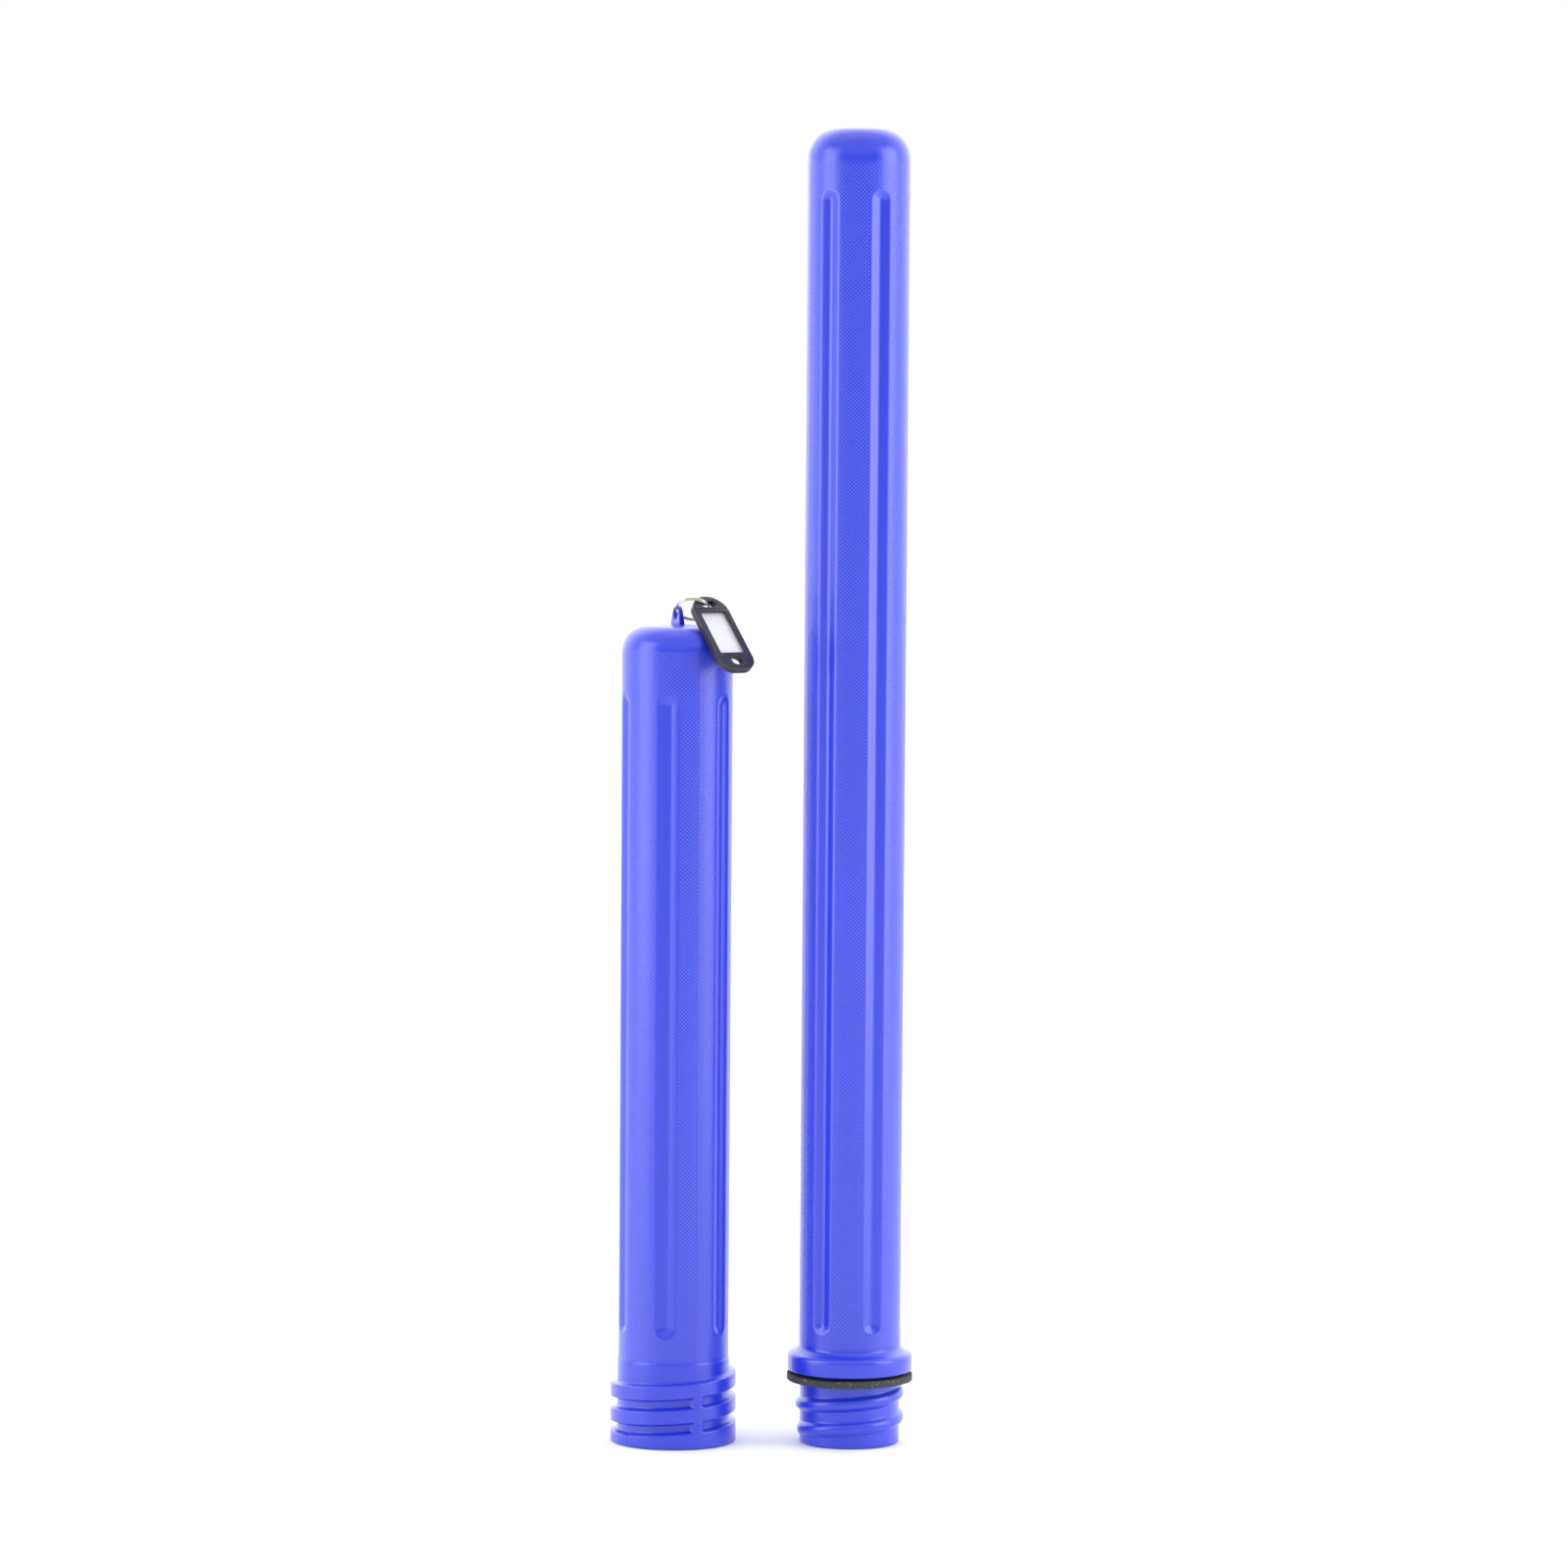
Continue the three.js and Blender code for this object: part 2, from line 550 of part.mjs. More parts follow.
function tagGroup() {
  const normal = tagNormal(restingLean());
  const up = normal.clone().cross(TAG_ACROSS);
  const slotOffset = TAG_LENGTH / 2 - SLOT_FROM_TOP;
  const centre = slotCentre.clone().addScaledVector(up, -slotOffset);
  centre.addScaledVector(normal, -TAG_BEHIND_RING);
  const group = new THREE.Group();
  group.applyMatrix4(new THREE.Matrix4().makeBasis(TAG_ACROSS, up, normal).setPosition(centre));
  group.add(...tagPieces());
  return group;
}

// ---------------------------------------------------------------- the set as it stands

const drawingTube = new THREE.Group();
const spacing = FLANGE_RADIUS + SEAL_OVERHANG + TUBE_GAP + RIB_RADIUS;

const longHalf = new THREE.Group();
longHalf.position.x = spacing / 2;
longHalf.add(part("long_tube", longTube(), BLUE, 0.42));
longHalf.add(part("sealing_ring", sealingRing(), RUBBER, 0.85));

const shortHalf = new THREE.Group();
shortHalf.position.x = -spacing / 2;
shortHalf.add(part("short_tube", shortTube(), BLUE, 0.42));

const hanger = new THREE.Group();
hanger.position.z = SHORT_HEIGHT;
const ring = part("split_ring", splitRing(), NICKEL, 0.25, 1);
ring.applyMatrix4(ringFrame());
hanger.add(ring, tagGroup());
shortHalf.add(hanger);

drawingTube.add(longHalf, shortHalf);
const extent = new THREE.Box3().setFromObject(drawingTube, true);
const middle = extent.getCenter(new THREE.Vector3());
drawingTube.position.set(-middle.x, -middle.y, -extent.min.z);

export default drawingTube;
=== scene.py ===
"""Looks for a two-part drawing tube: two blow-moulded halves standing on their mouths, a rubber
sealing ring on the long half's neck, and a key tag hanging from the short half by a split ring.

Lengths are in millimetres where a name or a helper says so, and in metres in the mesh.
Azimuths are in degrees round a tube's axis: 0 faces -Y, and they grow towards +X."""

import json
from math import atan2, cos, pi, radians, sin, sqrt

import bpy
import numpy as np
from mathutils import Matrix, Vector


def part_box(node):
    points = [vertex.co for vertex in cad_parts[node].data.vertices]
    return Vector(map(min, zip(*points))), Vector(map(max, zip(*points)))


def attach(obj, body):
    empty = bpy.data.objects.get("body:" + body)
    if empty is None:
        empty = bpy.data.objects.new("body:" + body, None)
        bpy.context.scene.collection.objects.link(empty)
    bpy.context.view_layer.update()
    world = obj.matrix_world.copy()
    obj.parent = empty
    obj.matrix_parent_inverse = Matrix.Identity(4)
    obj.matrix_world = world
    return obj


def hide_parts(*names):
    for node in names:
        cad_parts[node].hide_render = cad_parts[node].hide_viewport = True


bl_info = {
    "name": "Drawing Tube",
    "version": (1, 0, 0),
    "blender": (4, 5, 0),
    "location": "View3D > Sidebar > Drawing Tube",
    "description": "Builds a screw-together drawing tube with its sealing ring and key tag",
    "category": "Add Mesh",
}

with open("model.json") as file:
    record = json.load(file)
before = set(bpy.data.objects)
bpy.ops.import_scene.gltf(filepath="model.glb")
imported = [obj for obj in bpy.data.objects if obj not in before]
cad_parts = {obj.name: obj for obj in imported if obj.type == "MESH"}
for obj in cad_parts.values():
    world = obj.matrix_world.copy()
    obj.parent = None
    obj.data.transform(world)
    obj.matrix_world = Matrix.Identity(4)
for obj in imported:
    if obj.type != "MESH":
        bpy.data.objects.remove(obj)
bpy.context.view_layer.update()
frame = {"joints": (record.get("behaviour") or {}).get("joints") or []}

MM = 0.001
COLUMNS = 288                    # faces round each moulded half
PITCH = 14.5                     # of the screw
WALL = 2.3


def middle_of(node):
    """The centre of a CAD node's box."""
    low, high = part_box(node)
    return (low + high) / 2


def hex_linear(code):
    """A linear colour with alpha, from an sRGB hex value such as "2b3fe0"."""
    shares = [int(code[i:i + 2], 16) / 255 for i in (0, 2, 4)]
    return tuple(s / 12.92 if s <= 0.04045 else ((s + 0.055) / 1.055) ** 2.4 for s in shares) + (1.0,)


LONG_AXIS = middle_of("long_tube")
SHORT_AXIS = middle_of("short_tube")
LONG_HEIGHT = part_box("long_tube")[1].z / MM
SHORT_HEIGHT = 482
SEAL_LOW, SEAL_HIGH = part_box("sealing_ring")

# ---------------------------------------------------------------- sizes and colours to set


def length(name, text, value):
    """A length property in metres, from a default in millimetres."""
    return bpy.props.FloatProperty(
        name=name, description=text, default=value * MM, min=0, unit="LENGTH", subtype="DISTANCE"
    )


def angle(name, text, value):
    """An angle property, from a default in degrees."""
    return bpy.props.FloatProperty(
        name=name, description=text, default=radians(value), unit="ROTATION", subtype="ANGLE"
    )


def colour(name, text, code):
    """A colour property, from an sRGB hex value."""
    return bpy.props.FloatVectorProperty(
        name=name, description=text, default=hex_linear(code), size=4, min=0, max=1, subtype="COLOR"
    )


class LongHalfSizes(bpy.types.PropertyGroup):
    """Sizes of the long half, with the neck."""

    height: length("Height", "Mouth to the top of the dome", LONG_HEIGHT)
    radius: length("Barrel radius", "Outside radius of the barrel", 30)
    neck_radius: length("Neck radius", "Outside radius of the screw neck", 29.3)
    neck_length: length("Neck length", "Mouth to the flange", 43)
    flange_radius: length("Flange radius", "Outside radius of the flange", 36.7)
    parting: angle("Parting line", "Azimuth of the mould's parting line", -67.3)


class ShortHalfSizes(bpy.types.PropertyGroup):
    """Sizes of the short half, with the socket."""

    height: length("Height", "Mouth to the top of the dome", SHORT_HEIGHT)
    radius: length("Barrel radius", "Outside radius of the barrel", 32.5)
    collar_radius: length("Collar radius", "Smooth collar, and the floor between the ribs", 33)
    rib_radius: length("Rib radius", "Outside radius of the ribs and the rim", 37)
    parting: angle("Parting line", "Azimuth of the mould's parting line", 24.8)


class FluteSizes(bpy.types.PropertyGroup):
    """Sizes of the round-ended flutes in both barrels."""

    width: length("Width", "Across a flute", 12.6)
    depth: length("Depth", "Deepest point of a flute", 2.0)


class TagSizes(bpy.types.PropertyGroup):
    """Sizes of the key tag and its ring."""

    wire: length("Wire", "Diameter of the split ring's wire", 1.0)
    ring: length("Ring", "Diameter of the split ring, at the middle of its wire", 19.8)
    edge: length("Edge", "Rounding of the tag's outer edges", 0.7)


class FinishColours(bpy.types.PropertyGroup):
    """Colours of the finishes."""

    polyethylene: colour("Polyethylene", "Both halves", "1830cb")
    rubber: colour("Rubber", "Sealing ring", "343436")
    nickel: colour("Nickel", "Split ring", "cfc8bb")
    polystyrene: colour("Polystyrene", "Key tag", "1f1b22")
    card: colour("Card", "Label", "f6f6f8")
    floor: colour("Floor", "Studio floor", "f7f7f7")


# ---------------------------------------------------------------- materials


def add_node(tree, kind, settings=None, links=None, **inputs):
    """Adds a node, sets its properties and inputs, and links other nodes' outputs into it."""
    node = tree.nodes.new(kind)
    for name, value in (settings or {}).items():
        setattr(node, name, value)
    for name, value in inputs.items():
        node.inputs[int(name[1:]) if name[0] == "i" and name[1:].isdigit() else name.replace("_", " ")].default_value = value
    for name, output in (links or {}).items():
        tree.links.new(output, node.inputs[name])
    return node


def new_material(name):
    """A material with an empty node tree and its output node."""
    material = bpy.data.materials.new(name)
    material.use_nodes = True
    material.node_tree.nodes.clear()
    return material, material.node_tree


def finish_material(tree, shader):
    """Links the shader to the tree's output."""
    add_node(tree, "ShaderNodeOutputMaterial", links={"Surface": shader.outputs[0]})


def shade(tree, base, rough, bump=None, **inputs):
    """A Principled shader from linked colour, roughness and bump outputs and constant inputs."""
    links = {"Base Color": base, "Roughness": rough}
    if bump is not None:
        links["Normal"] = bump.outputs[0]
    links = {name: output for name, output in links.items() if output is not None}
    return add_node(tree, "ShaderNodeBsdfPrincipled", links=links, **inputs)


def maths(tree, operation, first, second=None, third=None):
    """A Math node; each operand is an output or a number."""
    node = add_node(tree, "ShaderNodeMath", {"operation": operation})
    for place, operand in enumerate((first, second, third)):
        if isinstance(operand, (int, float)):
            node.inputs[place].default_value = operand
        elif operand is not None:
            tree.links.new(operand, node.inputs[place])
    return node.outputs[0]


def noise(tree, vector, size, detail=2.0):
    """A noise texture whose features are about size metres across."""
    return add_node(
        tree, "ShaderNodeTexNoise", links={"Vector": vector}, Scale=1 / size, Detail=detail
    ).outputs["Fac"]


def remap(tree, value, low, high, start=0.0, end=1.0):
    """Maps a value between start and end to between low and high."""
    node = add_node(tree, "ShaderNodeMapRange", links={"Value": value})
    for name, number in (("From Min", start), ("From Max", end), ("To Min", low), ("To Max", high)):
        node.inputs[name].default_value = number
    return node.outputs[0]


def scaled(rgba, share):
    """A colour made lighter or darker by a share."""
    return tuple(min(1, c * share) for c in rgba[:3]) + (1.0,)


def mixed(tree, share, first, second):
    """A colour mixed from two by an output between 0 and 1."""
    node = add_node(tree, "ShaderNodeMix", {"data_type": "RGBA"}, {"Factor": share})
    node.inputs["A"].default_value = first
    node.inputs["B"].default_value = second
    return node.outputs["Result"]


GRIP_ACROSS = 2.45 * MM          # raised dots: spacing round the barrel
GRIP_ALONG = 2.34 * MM           # and along it
GRIP_RISE = 0.26 * MM


def polyethylene_blow_moulded(name, axis, radius, parting, tint):
    """Satin high-density polyethylene, blown against a blasted mould: a soft wide gloss, a faint
    orange peel, a staggered field of raised dots wherever the mesh's grip attribute is 1, a painted
    highlight on the dots' tips, and painted shade along the parting line."""
    material, tree = new_material(name)
    place = add_node(tree, "ShaderNodeTexCoord").outputs["Object"]
    centred = add_node(tree, "ShaderNodeMapping", links={"Vector": place}, Location=(-axis.x, -axis.y, 0))
    parts = add_node(tree, "ShaderNodeSeparateXYZ", links={"Vector": centred.outputs[0]}).outputs
    turn = maths(tree, "ARCTAN2", parts["Y"], parts["X"])
    dots_round = round(2 * pi * radius / GRIP_ACROSS)
    wave_round = maths(tree, "COSINE", maths(tree, "MULTIPLY", turn, dots_round))
    wave_along = maths(tree, "COSINE", maths(tree, "MULTIPLY", parts["Z"], 2 * pi / GRIP_ALONG))
    dots = maths(tree, "POWER", maths(tree, "MAXIMUM", maths(tree, "MULTIPLY", wave_round, wave_along), 0.0), 1.6)
    grip = add_node(tree, "ShaderNodeAttribute", {"attribute_name": "grip"}).outputs["Fac"]
    raised = maths(tree, "MULTIPLY", dots, grip)
    across = maths(tree, "MULTIPLY", parts["X"], cos(parting))
    off_parting = maths(tree, "ABSOLUTE", maths(tree, "MULTIPLY_ADD", parts["Y"], sin(parting), across))
    line = remap(tree, off_parting, 1.0, 0.0, 0.1 * MM, 0.42 * MM)
    peel = noise(tree, centred.outputs[0], 1.6 * MM, 3)
    drift = noise(tree, centred.outputs[0], 60 * MM, 2)
    height = maths(tree, "MULTIPLY_ADD", peel, 0.012 * MM, maths(tree, "MULTIPLY", raised, GRIP_RISE))
    height = maths(tree, "MULTIPLY_ADD", line, -0.1 * MM, height)
    bump = add_node(tree, "ShaderNodeBump", links={"Height": height}, Strength=1.0, Distance=1.0)
    body = mixed(tree, drift, scaled(tint, 0.94), scaled(tint, 1.06))
    # The raised dots' tips are mixed towards a pale blue: a painted highlight.
    dot_tip_painted_highlight = add_node(
        tree, "ShaderNodeMix", {"data_type": "RGBA"},
        {"A": body, "Factor": maths(tree, "MULTIPLY", raised, 0.5)},
    )
    dot_tip_painted_highlight.inputs["B"].default_value = hex_linear("6f80ee")
    # The parting line is mixed towards a darker blue: painted shade in its groove.
    parting_line_painted_shade = add_node(
        tree, "ShaderNodeMix", {"data_type": "RGBA"},
        {"A": dot_tip_painted_highlight.outputs["Result"], "Factor": maths(tree, "MULTIPLY", line, 0.55)},
    )
    parting_line_painted_shade.inputs["B"].default_value = scaled(tint, 0.45)
    rough = remap(tree, peel, 0.27, 0.35)
    shader = shade(
        tree, parting_line_painted_shade.outputs["Result"], rough, bump, IOR=1.54, Coat_Weight=0.6, Coat_Roughness=0.34
    )
    finish_material(tree, shader)
    return material


def rubber_die_cut(tint):
    """Black nitrile rubber cut from sheet: matte, with pale flecks of filler and a fine grain."""
    material, tree = new_material("nitrile_rubber_die_cut")
    place = add_node(tree, "ShaderNodeTexCoord").outputs["Object"]
    grain = noise(tree, place, 0.5 * MM, 4)
    cells = add_node(tree, "ShaderNodeTexVoronoi", links={"Vector": place}, Scale=1 / (1.3 * MM))
    flecks = remap(tree, cells.outputs["Distance"], 1.0, 0.0, 0.1, 0.3)
    kept = maths(tree, "MULTIPLY", flecks, remap(tree, noise(tree, place, 3 * MM), 0.0, 1.0, 0.45, 0.62))
    body = mixed(tree, grain, scaled(tint, 0.6), scaled(tint, 1.5))
    flecked = add_node(tree, "ShaderNodeMix", {"data_type": "RGBA"}, {"A": body, "Factor": kept})
    flecked.inputs["B"].default_value = hex_linear("a9a9a4")
    bump = add_node(tree, "ShaderNodeBump", links={"Height": grain}, Strength=0.6, Distance=0.12 * MM)
    shader = shade(tree, flecked.outputs["Result"], remap(tree, grain, 0.7, 0.9), bump, IOR=1.52)
    finish_material(tree, shader)
    return material


def nickel_plated_wire(tint):
    """Nickel-plated spring steel wire, drawn and coiled: bright, with faint scuffs that dull it."""
    material, tree = new_material("nickel_plated_spring_wire")
    place = add_node(tree, "ShaderNodeTexCoord").outputs["Object"]
    scuffs = noise(tree, place, 0.9 * MM, 4)
    body = mixed(tree, scuffs, scaled(tint, 0.88), scaled(tint, 1.05))
    bump = add_node(tree, "ShaderNodeBump", links={"Height": scuffs}, Strength=0.3, Distance=0.02 * MM)
    shader = shade(tree, body, remap(tree, scuffs, 0.16, 0.32), bump, Metallic=1.0)
    finish_material(tree, shader)
    return material


def polystyrene_injection_moulded(tint):
    """Black polystyrene from a spark-eroded mould: semi-gloss, with a fine pebbled grain."""
    material, tree = new_material("black_polystyrene_injection_moulded")
    place = add_node(tree, "ShaderNodeTexCoord").outputs["Object"]
    grain = noise(tree, place, 0.35 * MM, 3)
    wear = noise(tree, place, 7 * MM, 2)
    body = mixed(tree, wear, scaled(tint, 0.85), scaled(tint, 1.35))
    bump = add_node(tree, "ShaderNodeBump", links={"Height": grain}, Strength=0.5, Distance=0.03 * MM)
    shader = shade(tree, body, remap(tree, wear, 0.26, 0.4), bump, IOR=1.59)
    finish_material(tree, shader)
    return material


def paper_uncoated(tint):
    """Uncoated white label card: matte, with a faint fibre tooth."""
    material, tree = new_material("uncoated_label_card")
    place = add_node(tree, "ShaderNodeTexCoord").outputs["Object"]
    fibres = noise(tree, place, 0.4 * MM, 5)
    body = mixed(tree, fibres, scaled(tint, 0.98), tint)
    bump = add_node(tree, "ShaderNodeBump", links={"Height": fibres}, Strength=0.3, Distance=0.01 * MM)
    shader = shade(tree, body, remap(tree, fibres, 0.8, 0.95), bump)
    finish_material(tree, shader)
    return material


def clear_sheet_extruded():
    """Thin clear polypropylene sheet: nearly all light passes, and a soft gloss stays on top."""
    material, tree = new_material("clear_polypropylene_sheet")
    place = add_node(tree, "ShaderNodeTexCoord").outputs["Object"]
    ripple = noise(tree, place, 6 * MM, 1)
    bump = add_node(tree, "ShaderNodeBump", links={"Height": ripple}, Strength=0.3, Distance=0.1 * MM)
    shader = shade(tree, None, remap(tree, ripple, 0.05, 0.12), bump, IOR=1.49, Alpha=0.14)
    finish_material(tree, shader)
    return material


def floor_paper(tint):
    """Seamless white studio paper: matte, with hardly any tooth."""
    material, tree = new_material("seamless_studio_paper")
    place = add_node(tree, "ShaderNodeTexCoord").outputs["Object"]
    tooth = noise(tree, place, 2 * MM, 2)
    body = mixed(tree, tooth, scaled(tint, 0.99), tint)
    shader = shade(tree, body, remap(tree, tooth, 0.9, 1.0))
    finish_material(tree, shader)
    return material


# ---------------------------------------------------------------- modelling helpers


def deselect():
    """Leaves edit mode and selects nothing."""
    if bpy.context.object and bpy.context.object.mode != "OBJECT":
        bpy.ops.object.mode_set(mode="OBJECT")
    bpy.ops.object.select_all(action="DESELECT")


def settle(piece, name, material, body, slot, *nodes):
    """Names a finished piece, puts its place in its mesh, and fastens it to its CAD body."""
    deselect()
    piece.select_set(True)
    bpy.context.view_layer.objects.active = piece
    bpy.ops.object.transform_apply(location=True, rotation=True, scale=True)
    piece.name = name
    piece.data.name = name
    piece.data.materials.clear()
    piece.data.materials.append(material)
    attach(piece, body)
    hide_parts(*nodes)
    return piece


def apply_modifier(piece, kind, **settings):
    """Adds a modifier with its settings and applies it."""
    modifier = piece.modifiers.new(kind.lower(), kind)
    for name, value in settings.items():
        setattr(modifier, name, value)
    bpy.context.view_layer.objects.active = piece
    bpy.ops.object.modifier_apply(modifier=modifier.name)


def cut(piece, cutter):
    """Cuts one piece with another and deletes the cutter."""
    apply_modifier(piece, "BOOLEAN", operation="DIFFERENCE", solver="EXACT", object=cutter)
    bpy.data.objects.remove(cutter)


def smooth_by_angle(piece, degrees):
    """Smooth shading, with edges sharper than this kept crisp."""
    deselect()
    piece.select_set(True)
    bpy.context.view_layer.objects.active = piece
    bpy.ops.object.shade_smooth_by_angle(angle=radians(degrees))


def chain_of_points(points):
    """A line of vertices, drawn by extruding one vertex from point to point."""
    deselect()
    bpy.ops.mesh.primitive_plane_add(size=MM, location=points[0])
    piece = bpy.context.object
    bpy.ops.object.transform_apply(location=True)
    bpy.ops.object.mode_set(mode="EDIT")
    bpy.ops.mesh.select_mode(type="VERT")
    bpy.ops.mesh.select_all(action="SELECT")
    bpy.ops.mesh.merge(type="CENTER")
    for here, there in zip(points, points[1:]):
        bpy.ops.mesh.extrude_region_move(TRANSFORM_OT_translate={"value": there - here})
    return piece


def spun(profile, axis, columns):
    """A closed body spun from a profile of (radius, height) in millimetres round an upright axis."""
    points = [Vector((axis.x + radius * MM, axis.y, height * MM)) for radius, height in profile]
    piece = chain_of_points(points)
    bpy.ops.mesh.select_all(action="SELECT")
    bpy.ops.mesh.spin(steps=columns, angle=2 * pi, center=(axis.x, axis.y, 0), axis=(0, 0, 1))
    bpy.ops.mesh.select_all(action="SELECT")
    bpy.ops.mesh.remove_doubles(threshold=0.002 * MM)
    bpy.ops.mesh.normals_make_consistent(inside=False)
    bpy.ops.object.mode_set(mode="OBJECT")
    return piece


# ---------------------------------------------------------------- relief pressed into the halves


def eased(share):
    """Turns a share from 0 to 1 into a soft start and stop."""
    share = np.clip(share, 0, 1)
    return share * share * (3 - 2 * share)


def wrapped(degrees):
    """Degrees between -180 and 180."""
    return (degrees + 180) % 360 - 180


FLUTE_ANGLES = [-152.5, -92.5, -32.5, 32.5, 92.5, 152.5]      # from the parting line


def flute_shape(azimuth, height, radius, parting, bottom, top, width):
    """How far into a flute each point lies: 1 on its middle line, 0 at its edge and beyond."""
    half = width / 2
    nearest = np.full(azimuth.shape, 10.0)
    beyond = np.maximum(np.maximum(bottom + half - height, height - top + half), 0)
    for offset in FLUTE_ANGLES:
        aside = np.radians(wrapped(azimuth - parting - offset)) * radius
        nearest = np.minimum(nearest, np.hypot(aside, beyond) / half)
    return nearest


def flute_depth(nearest):
    """Depth share of a flute with straight flanks, a rounded bottom and softly turned edges."""
    shares = np.linspace(0, 1.12, 113)
    slope = eased(shares / 0.34) * eased((1.12 - shares) / 0.34)
    fall = np.cumsum(slope)
    return 1 - np.interp(nearest, shares, fall / fall[-1])


def helix_offset(azimuth, height, start, turns, start_height, run_out):
    """For each point, (distance above the nearest turn's middle, how fully that turn stands)."""
    best = np.full(azimuth.shape, 1e3)
    full = np.zeros(azimuth.shape)
    end = start + turns * 360
    first = start + (azimuth - start) % 360
    for turn in range(int(turns) + 1):
        along = first + 360 * turn
        off = height - start_height - PITCH * (along - start) / 360
        stands = eased(np.minimum(along - start, end - along) / run_out)
        nearer = (along <= end) & (np.abs(off) < np.abs(best))
        best = np.where(nearer, off, best)
        full = np.where(nearer, stands, full)
    return best, full


def gathered_azimuth(azimuth, parting):
    """Draws the mesh's columns together at both parting lines, so that a fine line can stand."""
    aside = (azimuth - parting + 90) % 180 - 90
    return azimuth - 0.7 * aside * np.exp(-((aside / 4) ** 2))


def flash_line(azimuth, radius, parting):
    """The thin line that the mould's halves leave, as a share of its height."""
    aside = np.abs(np.radians((azimuth - parting + 90) % 180 - 90)) * radius
    return eased((0.5 - aside) / 0.5)


def read_points(piece, axis):
    """A mesh's points as azimuth in degrees, and radius and height in millimetres."""
    flat = np.empty(len(piece.data.vertices) * 3)
    piece.data.vertices.foreach_get("co", flat)
    x, y, z = (flat.reshape(-1, 3) - (axis.x, axis.y, 0)).T / MM
    return np.degrees(np.arctan2(x, -y)), np.hypot(x, y), z


def write_points(piece, axis, azimuth, radius, height):
    """Puts a mesh's points back from azimuth, radius and height."""
    turn = np.radians(azimuth)
    points = np.stack([radius * np.sin(turn), -radius * np.cos(turn), height], 1) * MM
    piece.data.vertices.foreach_set("co", (points + (axis.x, axis.y, 0)).ravel())
    piece.data.update()


def write_grip(piece, share):
    """Stores where the raised dots stand, as a share at each point."""
    attribute = piece.data.attributes.new("grip", "FLOAT", "POINT")
    attribute.data.foreach_set("value", share.astype(np.float32))


def rows(*spans):
    """Heights for rings of points: each span is (from, to, spacing), in millimetres."""
    heights = []
    for low, high, spacing in spans:
        count = max(1, round(abs(high - low) / spacing))
        heights += [low + (high - low) * i / count for i in range(count)]
    return heights


def dome_outline(radius, top, width, height, rise, steps):
    """The rounded corner and shallow crown that close a barrel, from the barrel to the axis."""
    outline = []
    for i in range(steps + 1):
        turn = i / steps * pi / 2
        outline.append((radius - width + width * cos(turn), top - rise - height * (1 - sin(turn))))
    flat = radius - width
    for i in range(1, 6):
        share = 1 - i / 5
        outline.append((flat * share, top - rise * share * share))
    return outline


def barrel_rows(radius, low, bottom, top, high, spacing):
    """Rings up a fluted barrel, close together where the flutes end."""
    end = 9
    heights = rows(
        (low, bottom - 1, 2.5), (bottom - 1, bottom + end, spacing), (bottom + end, top - end, 14),
        (top - end, top + 1, spacing), (top + 1, high, 4),
    )
    return [(radius, height) for height in heights]


# ---------------------------------------------------------------- the long half


def long_profile(sizes, flutes):
    """Outline of the long half in millimetres: up the outside, then down the bore."""
    neck, neck_end = sizes.neck_radius / MM, sizes.neck_length / MM
    flange, barrel, top = sizes.flange_radius / MM, sizes.radius / MM, sizes.height / MM
    bottom, high = flutes
    flange_top = neck_end + 11
    edge = 3.0
    outside = [(neck - WALL, 0.5), (neck - WALL + 0.5, 0), (neck - 0.9, 0), (neck - 0.25, 0.25), (neck, 0.9)]
    outside += [(neck, height) for height in rows((1.3, 37, 0.42), (37, neck_end - 0.5, 1.5))]
    outside += [(neck + 0.15, neck_end - 0.15), (neck + 0.6, neck_end), (flange - 0.8, neck_end)]
    outside += [(flange - 0.2, neck_end + 0.2), (flange, neck_end + 0.8), (flange, flange_top - edge)]
    for i in range(1, 9):
        turn = i / 8 * radians(72)
        outside.append((flange - edge + edge * cos(turn), flange_top - edge + edge * sin(turn)))
    reach, rise = outside[-1]
    foot = flange_top + 3.4
    for i in range(1, 9):
        share = i / 8
        outside.append((barrel + (reach - barrel) * (1 - share) ** 1.8, rise + (foot - rise) * share))
    outside += barrel_rows(barrel, foot + 1, bottom, high, top - 19.4, 0.8)
    outside += dome_outline(barrel, top, 17, 18, 1.2, 22)
    bore = barrel - WALL
    inside = dome_outline(bore, top - WALL, 17 - WALL, 18 - WALL, 1.2, 8)[::-1][1:]
    inside += barrel_rows(bore, foot, bottom, high, top - 22, 1.8)[::-1]
    hollow = flange - WALL
    inside += [(bore, flange_top + 1.2), (hollow - edge, flange_top - 1), (hollow, flange_top - edge)]
    inside += [(hollow, neck_end + WALL), (neck - WALL, neck_end + WALL - 0.3)]
    inside += [(neck - WALL, height) for height in (32, 22, 12, 4)]
    return outside + inside + outside[:1]


